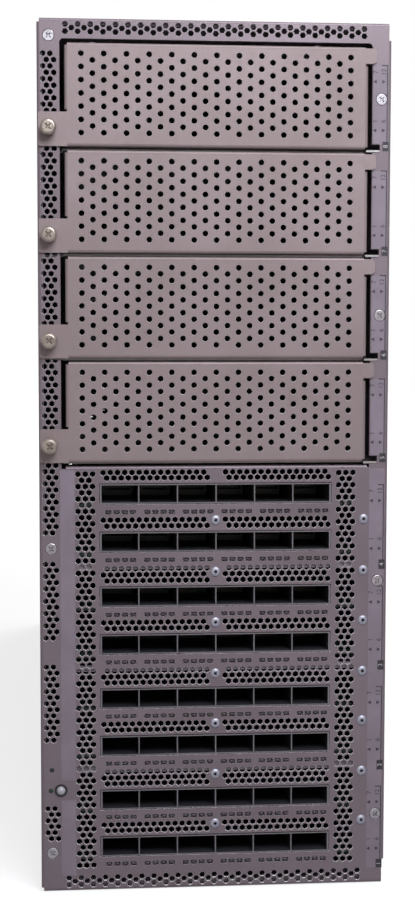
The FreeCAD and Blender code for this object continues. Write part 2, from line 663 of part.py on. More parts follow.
THUMB_HEAD = 4.1             # radius of the thumbscrew's knurled head
THUMB_COLLAR = 3.2
THUMB_CROWN = 1.2            # slope round the head's front
THUMB_NECK = 1.0             # height of the collar
THUMB_LENGTH = 9.0           # shank behind the ear
THUMB_RECESS = 1.9           # cross recess in the head
RECESS_HALF = 0.4            # half width of its arms
RECESS_DEPTH = 1.4


def make_thumbscrew(slot):
    """Captive thumbscrew: crowned head, narrow collar on the ear and shank."""
    x, z = thumb_places()[slot]
    tip = FRONT - THUMBSCREW_REACH
    seat = COVER_FACE - COVER_GAP
    outline = [
        V(0, tip, 0), V(THUMB_HEAD - THUMB_CROWN, tip, 0), V(THUMB_HEAD, tip + THUMB_CROWN, 0),
        V(THUMB_HEAD, seat - THUMB_NECK, 0), V(THUMB_COLLAR, seat - THUMB_NECK, 0),
        V(THUMB_COLLAR, seat, 0), V(THUMB_SHANK, seat, 0),
        V(THUMB_SHANK, seat + THUMB_LENGTH, 0), V(0, seat + THUMB_LENGTH, 0),
    ]
    half = Part.Face(Part.makePolygon(outline + [outline[0]]))
    screw = half.revolve(V(0, 0, 0), V(0, 1, 0), 360)
    screw.translate(V(x, 0, z))
    arms = []
    for wide, high in ((THUMB_RECESS, RECESS_HALF), (RECESS_HALF, THUMB_RECESS)):
        arms.append(block(x - wide, x + wide, tip - 1, tip + RECESS_DEPTH, z - high, z + high))
    return screw.cut(fuse(arms))


# ---------------------------------------------------------------- lamps and locator button
INDICATOR_BOARD = 1.6
INDICATOR_WIDTH = 12.0
INDICATOR_SETBACK = 8.0      # board behind the front frame
INDICATOR_RISE = 7.0         # board above the status lamp
INDICATOR_DROP = 9.0         # and below the locator lamp
LAMP_RECESS = 0.3            # lamps behind the bezel's front
LAMP_GAP = 0.1               # round each lamp in its hole
POST_RADIUS = 1.5            # posts that carry the board
POST_INSET = 2.0             # from its corners
SWITCH_HALF = 2.4            # half side of the push switch
BUSHING_PROUD = 0.3          # ring in front of the bezel
BUSHING_LIP = 0.6            # thickness of its flange
BUTTON_GAP = 0.08            # button in its ring
BUTTON_PROUD = 0.4           # cylindrical part in front of the bezel
BUTTON_HEAD = 1.6            # dome in front of that
COLLAR = 0.8                 # width and thickness of the button's collar
STEM_RADIUS = 1.4
STEM_LENGTH = 5.0


def make_indicator_board():
    """Small board behind the bezel with the two lamps and the switch of the button."""
    frame_back = FRAME_FRONT + WALL
    y = frame_back + INDICATOR_SETBACK
    x0 = INNER_COVER + NECK + EDGE_GAP
    x1 = x0 + INDICATOR_WIDTH
    z0 = down(LAMP_PLACES[1][1] + INDICATOR_DROP)
    z1 = down(LAMP_PLACES[0][1] - INDICATOR_RISE)
    solids = [block(x0, x1, y, y + INDICATOR_BOARD, z0, z1)]
    start = FRONT + LAMP_RECESS
    for place in LAMP_PLACES:
        x, z = across(place[0]), down(place[1])
        solids.append(rod(LAMP_RADIUS - LAMP_GAP, V(x, start, z), y - start, V(0, 1, 0)))
    x, z = across(BUTTON_PLACE[0]), down(BUTTON_PLACE[1])
    front = FRONT + BEZEL_SHEET + STEM_LENGTH + BUTTON_TRAVEL + EDGE_GAP
    solids.append(block(x - SWITCH_HALF, x + SWITCH_HALF, front, y, z - SWITCH_HALF,
                        z + SWITCH_HALF))
    for end in (z0 + POST_INSET, z1 - POST_INSET):
        solids.append(rod(POST_RADIUS, V(x1 - POST_INSET, frame_back, end), INDICATOR_SETBACK,
                          V(0, 1, 0)))
    return solids


def make_button_bushing():
    """Dark ring in the bezel that guides the button."""
    x, z = across(BUTTON_PLACE[0]), down(BUTTON_PLACE[1])
    back = BEZEL_BACK + BUSHING_LIP
    ring = rod(BUSHING_RADIUS, V(x, FRONT - BUSHING_PROUD, z), back - FRONT + BUSHING_PROUD,
               V(0, 1, 0))
    flange = rod(BUSHING_FLANGE, V(x, BEZEL_BACK, z), BUSHING_LIP, V(0, 1, 0))
    hole = rod(BUTTON_RADIUS + BUTTON_GAP, V(x, FRONT - 1, z), back - FRONT + 2, V(0, 1, 0))
    return fuse([ring, flange]).cut(hole)


def make_locator_button():
    """Domed push button, held in by a collar behind its bushing."""
    x, z = across(BUTTON_PLACE[0]), down(BUTTON_PLACE[1])
    collar = BEZEL_BACK + BUSHING_LIP + EDGE_GAP
    front = FRONT - BUTTON_PROUD
    radius = (BUTTON_RADIUS ** 2 + BUTTON_HEAD ** 2) / (2 * BUTTON_HEAD)
    neck = rod(BUTTON_RADIUS, V(x, front, z), collar - front + COLLAR, V(0, 1, 0))
    ball = Part.makeSphere(radius, V(x, front - BUTTON_HEAD + radius, z))
    dome = ball.common(block(x - radius, x + radius, front - BUTTON_HEAD - 1, front,
                             z - radius, z + radius))
    rim = rod(BUTTON_RADIUS + COLLAR, V(x, collar, z), COLLAR, V(0, 1, 0))
    stem = rod(STEM_RADIUS, V(x, collar, z), FRONT + BEZEL_SHEET + STEM_LENGTH - collar,
               V(0, 1, 0))
    return fuse([neck, dome, rim, stem])


# ---------------------------------------------------------------- fastening screws
SIDE_SCREW_IN = 7.0          # side screws from the cover side
SIDE_SCREW_FRONT = 30.0      # first screw behind the bezel's flanges
SIDE_SCREW_MIDDLE = 67.0     # second behind the midplane
SIDE_SCREW_REAR = 20.0       # third before the fan trays


def side_screw_places():
    """Y of the screws along each narrow side."""
    return [BODY_START + SIDE_SCREW_FRONT, MIDPLANE + SIDE_SCREW_MIDDLE,
            REAR - FAN_DEPTH - SIDE_SCREW_REAR]


def countersunk_screw(x, y, z, direction, gap=0.0):
    """Flush screw whose head faces against the direction, or its hole if a gap is given."""
    head = Part.makeCone(SCREW_HEAD + gap, SCREW_SHANK + gap, SCREW_HEAD - SCREW_SHANK,
                         V(0, 0, 0), V(0, 0, 1))
    shank = rod(SCREW_SHANK + gap, V(0, 0, 0), SCREW_LENGTH + gap, V(0, 0, 1))
    screw = fuse([head, shank])
    screw.Placement = FreeCAD.Placement(V(x, y, z), FreeCAD.Rotation(V(0, 0, 1), direction))
    return screw


def make_bezel_screws():
    return [countersunk_screw(x, FRONT, z, V(0, 1, 0)) for x, z in bezel_screw_places()]


def side_screws(gap=0.0):
    x = across(SIDE_SCREW_IN)
    screws = []
    for y in side_screw_places():
        screws.append(countersunk_screw(x, y, 0, V(0, 0, 1), gap))
        screws.append(countersunk_screw(x, y, RACK_WIDTH, V(0, 0, -1), gap))
    return screws


# ---------------------------------------------------------------- inner boards
MIDPLANE_SHEET = 3.0
SLOT_SOCKET = (64.0, 12.0, 14.0)             # along X, Y and Z
AIR_WINDOW = 26.0            # windows of the midplane, along X
AIR_MARGIN = 12.0            # from the insides of the cover and floor
AIR_HALF = 18.0              # half their height
MIDPLANE_MARGIN = 2.0        # from the inside of the cover
SHELF_SHEET = 1.2
SHELF_SETBACK = 40.0         # power shelf behind the midplane
SHELF_LAP = 12.0             # and at least this far in front of the power backplane
POWER_BOARD = 1.6
POWER_SOCKET = 12.0          # depth of the sockets between that board and the supplies
SHELF_START = min(MIDPLANE + SHELF_SETBACK,
                  REAR - POWER_DEPTH - POWER_SOCKET - POWER_BOARD - SHELF_LAP)
LIP_BACK = WALL + SEAT_GAP + COVER_SHEET     # inner face of the top cover's lips
FAN_PITCH = (RACK_WIDTH - 2 * (LIP_BACK + 1.0)) / FAN_COUNT
FAN_MARGIN = (RACK_WIDTH - FAN_COUNT * FAN_PITCH) / 2
TRAY_COVER_SIDE = INNER_COVER + 6.0
TRAY_SHELF_SIDE = SHELF - 3.0
TRAY_WIDTH = FAN_PITCH - 4.0
BOARD_X = SHELF - 14.0       # main board over the power shelf
BOARD_END = REAR - FAN_DEPTH - 30.0
BOARD_MARGIN = 6.0           # from the side walls
STANDOFF = 3.0               # radius of its standoffs
STANDOFF_FRONT = 30.0        # first row behind the shelf's front edge
STANDOFF_REAR = 20.0         # second before the board's end
STANDOFF_STEPS = (-179.7, -70.0, 70.0, 179.7)    # from the middle of the rack width
BOARD_PLUG = (16.0, 12.0, 120.0)             # along X, Y and Z
BOARD_PLUGS = (0.25, 0.75)   # places of the plugs, as shares of the rack width
SINKS = (0.3, 0.7)           # places of the heat sinks
SINK_SIZE = 96.0
SINK_BASE = 6.0
SINK_HEIGHT = 36.0
FIN_COUNT = 13
FIN = 1.5


def make_midplane():
    """Board across the chassis: sockets for the slots, air windows between the cards."""
    edge = LIP_BACK + EDGE_GAP
    plate = block(INNER_COVER + MIDPLANE_MARGIN, INNER_FLOOR, MIDPLANE,
                  MIDPLANE + MIDPLANE_SHEET, edge, RACK_WIDTH - edge)
    tools = []
    for k in range(SLOT_COUNT + PAIR_COUNT):
        z = down(TOP_MARGIN + (k + 0.5) * SLOT_PITCH)
        for x0 in (INNER_COVER + AIR_MARGIN, INNER_FLOOR - AIR_MARGIN - AIR_WINDOW):
            tools.append(block(x0, x0 + AIR_WINDOW, MIDPLANE - 1,
                               MIDPLANE + MIDPLANE_SHEET + 1, z - AIR_HALF, z + AIR_HALF))
    solids = [cut(plate, tools)]
    length, depth, height = SLOT_SOCKET
    for k in range(SLOT_COUNT):
        z = down(TOP_MARGIN + (k + 0.5) * SLOT_PITCH)
        solids.append(block(-length / 2, length / 2, MIDPLANE - depth, MIDPLANE,
                            z - height / 2, z + height / 2))
    return solids


def make_switch_board():
    """Main board on standoffs over the power shelf."""
    y0 = MIDPLANE + MIDPLANE_SHEET + EDGE_GAP
    edge = WALL + BOARD_MARGIN
    solids = [block(BOARD_X, BOARD_X + BOARD, y0, BOARD_END, edge, RACK_WIDTH - edge)]
    for y in (SHELF_START + STANDOFF_FRONT, BOARD_END - STANDOFF_REAR):
        for step in STANDOFF_STEPS:
            foot = V(BOARD_X + BOARD, y, RACK_WIDTH / 2 + step)
            solids.append(rod(STANDOFF, foot, SHELF - BOARD_X - BOARD, V(1, 0, 0)))
    high, deep, wide = BOARD_PLUG
    for share in BOARD_PLUGS:
        z = RACK_WIDTH * share
        solids.append(block(BOARD_X - high, BOARD_X, y0, y0 + deep, z - wide / 2,
                            z + wide / 2))
    return solids


def make_heat_sinks():
    """Two finned blocks on the switching chips."""
    y0 = (SHELF_START + BOARD_END) / 2 - SINK_SIZE / 2
    shapes = []
    for share in SINKS:
        z0 = RACK_WIDTH * share - SINK_SIZE / 2
        parts = [block(BOARD_X - SINK_BASE, BOARD_X, y0, y0 + SINK_SIZE, z0, z0 + SINK_SIZE)]
        step = (SINK_SIZE - FIN) / (FIN_COUNT - 1)
        for k in range(FIN_COUNT):
            zf = z0 + k * step
            parts.append(block(BOARD_X - SINK_HEIGHT, BOARD_X - SINK_BASE + 1, y0,
                               y0 + SINK_SIZE, zf, zf + FIN))
        shapes.append(fuse(parts))
    return shapes


# ---------------------------------------------------------------- power shelf and rear frame
POWER_SIDE_GAP = 0.8
POWER_STEP = POWER_WIDTH + 2 * POWER_SIDE_GAP + SHELF_SHEET
MANAGE_Z = WALL + POWER_COUNT * POWER_STEP
MANAGE_WIDTH = RACK_WIDTH - WALL - MANAGE_Z
WINDOW_GAP = 0.6             # round the trays and supplies in the rear frame
SILL_GAP = 0.2               # their windows from the shelf and the floor
BAY_SETBACK = 10.0           # bay walls behind the shelf's front edge
SOCKET_INSET = (12.0, 22.0)  # sockets of the backplane within a bay, along X and Z


def power_start(k):
    """Z of the lower side of a power supply."""
    return WALL + k * POWER_STEP + POWER_SIDE_GAP


def fan_start(k):
    """Z of the lower side of a fan tray."""
    return FAN_MARGIN + k * FAN_PITCH + (FAN_PITCH - TRAY_WIDTH) / 2


def make_power_shelf():
    """Shelf over the power supplies, with the walls between their bays."""
    end = REAR - WALL
    parts = [block(SHELF, SHELF + SHELF_SHEET, SHELF_START, end, WALL, RACK_WIDTH - WALL)]
    for k in range(1, POWER_COUNT + 1):
        z1 = WALL + k * POWER_STEP
        parts.append(block(SHELF, INNER_FLOOR, SHELF_START + BAY_SETBACK, end,
                           z1 - SHELF_SHEET, z1))
    return fuse(parts)


def make_power_backplane():
    """Board across the inner ends of the supplies, with a socket for each."""
    y0 = REAR - POWER_DEPTH - POWER_SOCKET
    y1 = REAR - POWER_DEPTH - EDGE_GAP
    high, wide = SOCKET_INSET
    solids = []
    for k in range(POWER_COUNT):
        z0 = power_start(k) - POWER_SIDE_GAP
        z1 = z0 + POWER_STEP - SHELF_SHEET
        x0, x1 = SHELF + SHELF_SHEET, INNER_FLOOR
        solids.append(block(x0, x1, y0 - POWER_BOARD, y0, z0, z1))
        solids.append(block(x0 + high, x1 - high, y0, y1, z0 + wide, z1 - wide))
    return solids


def make_rear_frame():
    """Plate between the walls with windows for the trays, supplies and management module."""
    plate = block(INNER_COVER + EDGE_GAP, INNER_FLOOR, REAR - WALL, REAR, WALL,
                  RACK_WIDTH - WALL)
    y0, y1 = REAR - WALL - 1, REAR + 1
    tools = []
    for k in range(FAN_COUNT):
        z0 = fan_start(k)
        tools.append(block(TRAY_COVER_SIDE - WINDOW_GAP, TRAY_SHELF_SIDE + WINDOW_GAP, y0, y1,
                           z0 - WINDOW_GAP, z0 + TRAY_WIDTH + WINDOW_GAP))
    x0, x1 = SHELF + SHELF_SHEET + SILL_GAP, INNER_FLOOR - SILL_GAP
    for k in range(POWER_COUNT):
        z0 = power_start(k)
        tools.append(block(x0, x1, y0, y1, z0 - WINDOW_GAP, z0 + POWER_WIDTH + WINDOW_GAP))
    tools.append(block(x0, x1, y0, y1, MANAGE_Z + WINDOW_GAP,
                       MANAGE_Z + MANAGE_WIDTH - WINDOW_GAP))
    return cut(plate, tools)


# ---------------------------------------------------------------- fan trays
TRAY_SHEET = 1.2
FACE_SHEET = 1.5
FACE_GAP = 0.3               # tray's face behind the rear frame
DUCT_DEPTH = 58.0
HUB_DEPTH = 34.0
STRUT = 4.0
GUARD_SLOTS = 11             # slots of the finger guard over the duct
GUARD_SLOT = 5.5             # width of a slot
HANDLE_LENGTH = 72.0
HANDLE_WIDTH = 8.0
HANDLE_BAR = 6.0
HANDLE_IN = 12.0             # handle's far side from the tray's shelf side
HANDLE_ROOT = 0.2            # handles reach this far into their plates
FACE_LAP = (3.0, 2.0)        # face past the tray, towards the cover and the shelf
FACE_SPACE = 0.3             # half the gap between two faces
STRUT_LAP = 2.0              # struts reach this far into the duct's wall
STRUT_ROOT = 4.0             # and into the motor seat
SHAFT_START = 2.0            # shaft's end inside the rotor's hub
FAN_X = (TRAY_COVER_SIDE + TRAY_SHELF_SIDE) / 2 - 7.0
ROTOR_FRONT = REAR - 12.0 - HUB_DEPTH        # rotor's face towards the boards


def loop_handle(x, y, z0, z1, reach, width, bar):
    """Loop that stands out along +Y, with rounded corners, thick across X by width."""
    corner = 1.5 * bar
    outer = block(x, x + width, y, y + reach, z0, z1)
    ends = [e for e in outer.Edges if e.BoundBox.XLength > width / 2
            and e.BoundBox.YMin > y + reach - 0.1]
    outer = outer.makeFillet(corner, ends)
    inner = block(x - 1, x + width + 1, y - 1, y + reach - bar, z0 + bar, z1 - bar)
    ends = [e for e in inner.Edges if e.BoundBox.XLength > width / 2
            and e.BoundBox.YMin > y + reach - bar - 0.1]
    inner = inner.makeFillet(corner - bar / 2, ends)
    return outer.cut(inner)


def make_fan_tray(k):
    """Sheet-metal tray with its stamped finger guard, handle, fan duct and motor seat."""
    z0 = fan_start(k)
    z1 = z0 + TRAY_WIDTH
    zc = (z0 + z1) / 2
    face_y = REAR + FACE_GAP
    lap = (FAN_PITCH - TRAY_WIDTH) / 2 - FACE_SPACE
    face = block(TRAY_COVER_SIDE - FACE_LAP[0], TRAY_SHELF_SIDE + FACE_LAP[1], face_y,
                 face_y + FACE_SHEET, z0 - lap, z1 + lap)
    shell = block(TRAY_COVER_SIDE, TRAY_SHELF_SIDE, REAR - FAN_DEPTH, face_y + HANDLE_ROOT,
                  z0, z1)
    hollow = block(TRAY_COVER_SIDE + TRAY_SHEET, TRAY_SHELF_SIDE - TRAY_SHEET,
                   REAR - FAN_DEPTH - 1, face_y, z0 + TRAY_SHEET, z1 - TRAY_SHEET)
    root = face_y + FACE_SHEET - HANDLE_ROOT
    handle = loop_handle(TRAY_SHELF_SIDE - HANDLE_IN, root, zc - HANDLE_LENGTH / 2,
                         zc + HANDLE_LENGTH / 2, REAR + HANDLE_REACH - root, HANDLE_WIDTH,
                         HANDLE_BAR)
    tray = fuse([shell.cut(hollow), face, handle])
    slots = []
    step = 2 * (FAN_BORE - GUARD_SLOT) / (GUARD_SLOTS - 1)
    for turn in range(GUARD_SLOTS):
        offset = GUARD_SLOT - FAN_BORE + turn * step
        half = math.sqrt(FAN_BORE ** 2 - (abs(offset) + GUARD_SLOT / 2) ** 2)
        slots.append(block(FAN_X - half, FAN_X + half, face_y - 1, face_y + FACE_SHEET + 1,
                           zc + offset - GUARD_SLOT / 2, zc + offset + GUARD_SLOT / 2))
    tray = cut(tray, slots)
    duct = block(TRAY_COVER_SIDE + TRAY_SHEET, TRAY_SHELF_SIDE - TRAY_SHEET,
                 face_y - DUCT_DEPTH, face_y, z0 + TRAY_SHEET, z1 - TRAY_SHEET)
    duct = duct.cut(rod(FAN_BORE, V(FAN_X, face_y - DUCT_DEPTH - 1, zc), DUCT_DEPTH + 2,
                        V(0, 1, 0)))
    seat_y = ROTOR_FRONT + HUB_DEPTH + EDGE_GAP
    struts = []
    for turn in range(4):
        arm = block(HUB_RADIUS - STRUT_ROOT, FAN_BORE + STRUT_LAP, seat_y, face_y,
                    -STRUT / 2, STRUT / 2)
        arm.rotate(V(0, 0, 0), V(0, 1, 0), 45 + 90 * turn)
        arm.translate(V(FAN_X, 0, zc))
        struts.append(arm)
    seat = rod(HUB_RADIUS - 1, V(FAN_X, seat_y, zc), face_y - seat_y, V(0, 1, 0))
    tip = ROTOR_FRONT + SHAFT_START
    shaft = rod(SHAFT_RADIUS, V(FAN_X, tip, zc), face_y - tip, V(0, 1, 0))
    return [tray, fuse([duct, seat, shaft] + struts)]


# ---------------------------------------------------------------- fan rotors
BLADE_SHEET = 2.2
BLADE_CHORD = 24.0
BLADE_PITCH = 42.0           # blade angle to the plane of rotation
BLADE_CAMBER = 2.5
BLADE_ROOT = 3.0             # blades reach this far into the hub
HUB_CAP = 1.5                # closed face of the hub over the shaft


def blade_section(radius):
    """Closed cambered outline of the blade in the plane at this distance from the axis."""
    middle, half = BLADE_CHORD / 2, BLADE_SHEET / 2
    turn = math.radians(BLADE_PITCH)

    def place(along, over):
        t = along * math.cos(turn) - over * math.sin(turn)
        a = along * math.sin(turn) + over * math.cos(turn)
        return V(radius, a, t)

    upper = Part.Arc(place(-middle, 0), place(0, BLADE_CAMBER + half), place(middle, 0))
    lower = Part.Arc(place(middle, 0), place(0, BLADE_CAMBER - half), place(-middle, 0))
    return Part.Wire([upper.toShape(), lower.toShape()])


def make_fan_rotor(k):
    """Hub with cambered blades, which end on the cylinder inside the duct."""
    zc = fan_start(k) + TRAY_WIDTH / 2
    tip = FAN_BORE - ROTOR_GAP
    root = HUB_RADIUS - BLADE_ROOT
    hub = rod(HUB_RADIUS, V(0, 0, 0), HUB_DEPTH, V(0, 1, 0))
    blade = Part.Face(blade_section(root)).extrude(V(FAN_BORE - root, 0, 0))
    blade.translate(V(0, HUB_DEPTH / 2, 0))
    blade = blade.common(rod(tip, V(0, 0, 0), HUB_DEPTH, V(0, 1, 0)))
    blades = []
    for turn in range(BLADE_COUNT):
        copy = blade.copy()
        copy.rotate(V(0, 0, 0), V(0, 1, 0), 360.0 * turn / BLADE_COUNT)
        blades.append(copy)
    rotor = hub.multiFuse(blades)
    bore = rod(SHAFT_RADIUS + RUNNING_GAP, V(0, HUB_CAP, 0), HUB_DEPTH, V(0, 1, 0))
    rotor = rotor.cut(bore)
    rotor.translate(V(FAN_X, ROTOR_FRONT, zc))
    return rotor


# ---------------------------------------------------------------- power supplies
POWER_X0 = SHELF + SHELF_SHEET + POWER_SIDE_GAP
POWER_X1 = INNER_FLOOR - POWER_SIDE_GAP
POWER_FACE = REAR + 1.5
INLET_WIDTH = 24.0           # along Z
INLET_HEIGHT = 17.0          # along X
INLET_DEPTH = 18.0
INLET_CENTRE = 19.0          # from the lower side of the supply
INLET_RADIUS = 2.0
PIN_SIZE = (5.0, 2.0, 14.0)
PIN_PLACES = ((-7.0, 2.5), (7.0, 2.5), (0.0, -3.5))    # (z, x) from the inlet's middle
POWER_GRIP = 39.0
POWER_GRIP_START = 33.0
POWER_GRIP_WIDTH = 6.0
POWER_GRIP_BAR = 5.0
POWER_GRIP_SHORT = 2.0       # its reach, less than that of the fan handles
LATCH_NOTCH = (16.0, 30.0, 9.0)              # along X, Y and Z
LATCH = 3.0                  # thickness of the lever
LATCH_WIDTH = 14.8
LATCH_REACH = 16.0
LATCH_PIVOT = 22.0           # before the rear frame
LATCH_PIN = 1.5
LATCH_EYE = 1.2              # wall round the pin
LATCH_ROUND = 3.0            # corners of the lever's end
PAD_INSET = 2.0              # ridge of the thumb pad, from the lever's sides
PAD_BACK = (7.0, 5.0)        # ridge from the lever's end
PAD_HEIGHT = 1.2


def latch_middle():
    return (POWER_X0 + POWER_X1) / 2


def make_power_supply(k):
    """Closed supply with its power inlet, loop handle and the notch of its latch."""
    z0 = power_start(k)
    z1 = z0 + POWER_WIDTH
    xm = latch_middle()
    body = block(POWER_X0, POWER_X1, REAR - POWER_DEPTH, POWER_FACE, z0, z1)
    root = POWER_FACE - HANDLE_ROOT
    reach = REAR + HANDLE_REACH - POWER_GRIP_SHORT - root
    handle = loop_handle(xm - POWER_GRIP_WIDTH / 2, root, z0 + POWER_GRIP_START,
                         z0 + POWER_GRIP_START + POWER_GRIP, reach, POWER_GRIP_WIDTH,
                         POWER_GRIP_BAR)
    body = fuse([body, handle])
    zi = z0 + INLET_CENTRE
    inlet = rounded_window(xm - INLET_HEIGHT / 2, xm + INLET_HEIGHT / 2,
                           zi - INLET_WIDTH / 2, zi + INLET_WIDTH / 2, INLET_RADIUS,
                           POWER_FACE - INLET_DEPTH, POWER_FACE + 1)
    width, length, depth = LATCH_NOTCH
    notch = block(xm - width / 2, xm + width / 2, REAR - length, POWER_FACE + 1,
                  z1 - depth, z1 + 1)
    body = cut(body, [inlet, notch])
    blade, thick, reach = PIN_SIZE
    start = POWER_FACE - INLET_DEPTH - 1
    pins = []
    for dz, dx in PIN_PLACES:
        pins.append(block(xm + dx - blade / 2, xm + dx + blade / 2, start, start + reach,
                          zi + dz - thick / 2, zi + dz + thick / 2))
    axle = rod(LATCH_PIN, V(xm - width / 2 - 1, REAR - LATCH_PIVOT, z1 - LATCH), width + 2,
               V(1, 0, 0))
    return fuse([body, axle] + pins)


def make_power_latch(k):
    """Release lever on its pin, with a thumb pad behind the supply and a catch."""
    z1 = power_start(k) + POWER_WIDTH
    xm = latch_middle()
    x0, x1 = xm - LATCH_WIDTH / 2, xm + LATCH_WIDTH / 2
    centre = z1 - LATCH
    pivot = REAR - LATCH_PIVOT
    half = LATCH / 2
    arm = block(x0, x1, pivot, REAR + LATCH_REACH, centre - half, centre + half)
    far = [e for e in arm.Edges if e.BoundBox.ZLength > LATCH / 2
           and e.BoundBox.YMin > REAR + LATCH_REACH - 0.1]
    arm = arm.makeFillet(LATCH_ROUND, far)
    eye = rod(LATCH_PIN + LATCH_EYE, V(x0, pivot, centre), LATCH_WIDTH, V(1, 0, 0))
    end = REAR + LATCH_REACH
    pad = block(x0 + PAD_INSET, x1 - PAD_INSET, end - PAD_BACK[0], end - PAD_BACK[1], centre,
                centre + half + PAD_HEIGHT)
    bore = rod(LATCH_PIN + RUNNING_GAP, V(x0 - 1, pivot, centre), LATCH_WIDTH + 2, V(1, 0, 0))
    return fuse([arm, eye, pad]).cut(bore)


# ---------------------------------------------------------------- management module
SOCKET_SIZE = (12.2, 14.0, 16.0)             # along X, Z and Y
SOCKET_STEP = 20.0
SOCKET_START = 14.0          # first socket from the module's lower side
SERIAL_SIZE = (5.4, 12.5, 12.0)              # along X, Z and Y


def make_management_module():
    """Closed module beside the supplies, with two network sockets and a serial port."""
    x0, x1 = POWER_X0, POWER_X1
    z0, z1 = MANAGE_Z + POWER_SIDE_GAP, MANAGE_Z + MANAGE_WIDTH - POWER_SIDE_GAP
    face = REAR + FACE_SHEET
    body = block(x0, x1, REAR - POWER_DEPTH / 2, face, z0, z1)
    high, wide, deep = SOCKET_SIZE
    xm = (x0 + x1) / 2
    tools = []
    for k in range(2):
        z = z0 + SOCKET_START + k * SOCKET_STEP
        tools.append(block(xm - high / 2, xm + high / 2, face - deep, face + 1, z, z + wide))
    z = z0 + SOCKET_START + 2 * SOCKET_STEP
    high, wide, deep = SERIAL_SIZE
    tools.append(block(xm - high / 2, xm + high / 2, face - deep, face + 1, z, z + wide))
    return cut(body, tools)


# ---------------------------------------------------------------- build
def add_side_screw_holes(base, cover):
    """Holes for the flush screws of the top cover, from the screws themselves."""
    holes = side_screws(SCREW_GAP)
    return cut(base, holes), cut(cover, holes)


def main():
    os.makedirs("parts", exist_ok=True)
    base, cover = add_side_screw_holes(make_chassis_base(), make_top_cover())
    save("chassis_base", base)
    save("top_cover", cover)
    save("front_bezel", make_front_bezel())
    save("front_frame", make_front_frame())
    save("faceplate_rivets", make_rivets())
    save("flush_screws", make_bezel_screws() + side_screws())
    save("slot_dividers", make_slot_dividers())
    save("card_partitions", make_card_partitions())
    for k, level in enumerate(row_centres()):
        save("port_cage_%d" % (k + 1), make_port_cage(level))
        save("port_card_%d" % (k + 1), make_port_card(k))
    save("light_pipes", make_light_pipes())
    for slot in range(SLOT_COUNT):
        save("slot_cover_%d" % (slot + 1), make_slot_cover(slot))
        save("cover_thumbscrew_%d" % (slot + 1), make_thumbscrew(slot))
    save("indicator_board", make_indicator_board())
    save("button_bushing", make_button_bushing())
    save("locator_button", make_locator_button())
    save("midplane", make_midplane())
    save("switch_board", make_switch_board())
    save("heat_sinks", make_heat_sinks())
    save("power_shelf", make_power_shelf())
    save("power_backplane", make_power_backplane())
    save("rear_frame", make_rear_frame())
    for k in range(FAN_COUNT):
        save("fan_tray_%d" % (k + 1), make_fan_tray(k))
        save("fan_rotor_%d" % (k + 1), make_fan_rotor(k))
    for k in range(POWER_COUNT):
        save("power_supply_%d" % (k + 1), make_power_supply(k))
        save("power_latch_%d" % (k + 1), make_power_latch(k))
    save("management_module", make_management_module())


main()
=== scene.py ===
# %% [markdown]
# # A modular chassis switch, standing on its side
# The CAD model gives every box, joint and opening of this switch at its real size. Here it gets
# what only the eye needs: perforated sheet, knurled screws, print and metal finishes. All of that
# could be one big mesh, but then no cover or fan could move. So each piece is made by itself and
# rides on the CAD body that it belongs to.

# %% The frame and the places to measure from
import bmesh
import bpy
import math
from mathutils import Matrix, Vector
from mathutils.geometry import delaunay_2d_cdt


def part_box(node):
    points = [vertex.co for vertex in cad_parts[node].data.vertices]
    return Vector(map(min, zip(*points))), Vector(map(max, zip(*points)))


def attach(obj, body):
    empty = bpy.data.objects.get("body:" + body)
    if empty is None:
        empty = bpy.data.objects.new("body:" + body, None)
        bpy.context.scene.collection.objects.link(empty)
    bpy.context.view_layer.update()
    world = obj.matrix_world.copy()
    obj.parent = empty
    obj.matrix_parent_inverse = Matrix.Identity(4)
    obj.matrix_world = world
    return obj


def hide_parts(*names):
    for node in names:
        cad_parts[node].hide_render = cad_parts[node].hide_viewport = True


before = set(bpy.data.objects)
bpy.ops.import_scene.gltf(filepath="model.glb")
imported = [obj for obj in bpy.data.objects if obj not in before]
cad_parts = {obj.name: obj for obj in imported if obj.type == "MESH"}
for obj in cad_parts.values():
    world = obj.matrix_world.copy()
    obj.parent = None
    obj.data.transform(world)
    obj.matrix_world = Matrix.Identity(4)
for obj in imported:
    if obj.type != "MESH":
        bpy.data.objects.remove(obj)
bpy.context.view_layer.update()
MM = 0.001
COVER_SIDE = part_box("top_cover")[0].x
FLOOR_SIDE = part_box("chassis_base")[1].x
UPPER_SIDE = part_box("chassis_base")[1].z
BEZEL_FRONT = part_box("front_bezel")[0].y
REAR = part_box("rear_frame")[1].y
WIDTH = (FLOOR_SIDE - COVER_SIDE) / MM
HEIGHT = UPPER_SIDE / MM
cad_finishes = len(bpy.data.materials)       # plain ones, which come with the frame

# %% [markdown]
# The front is laid out as a sheet-metal drawing would be: every hole has a distance from the cover
# side (a) and a distance below the upper narrow side (d), in millimetres. The places could be
# written as x and z in metres, but they are read off and corrected more easily in a drawing's own
# way. One function turns such a pair into a point of the frame.

# %% Drawing coordinates
def at(a, d, y):
    """Point a millimetres from the cover side and d below the upper side, in the plane y."""
    return Vector((COVER_SIDE + a * MM, y, UPPER_SIDE - d * MM))


def sheet_places(node):
    """(a0, d0, a1, d1, y) of a CAD node: its outline in drawing millimetres, and its front."""
    low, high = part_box(node)
    return ((low.x - COVER_SIDE) / MM, (UPPER_SIDE - high.z) / MM,
            (high.x - COVER_SIDE) / MM, (UPPER_SIDE - low.z) / MM, low.y)


def middle_of(node):
    """(a, d) of the middle of a CAD node."""
    a0, d0, a1, d1, _ = sheet_places(node)
    return (a0 + a1) / 2, (d0 + d1) / 2


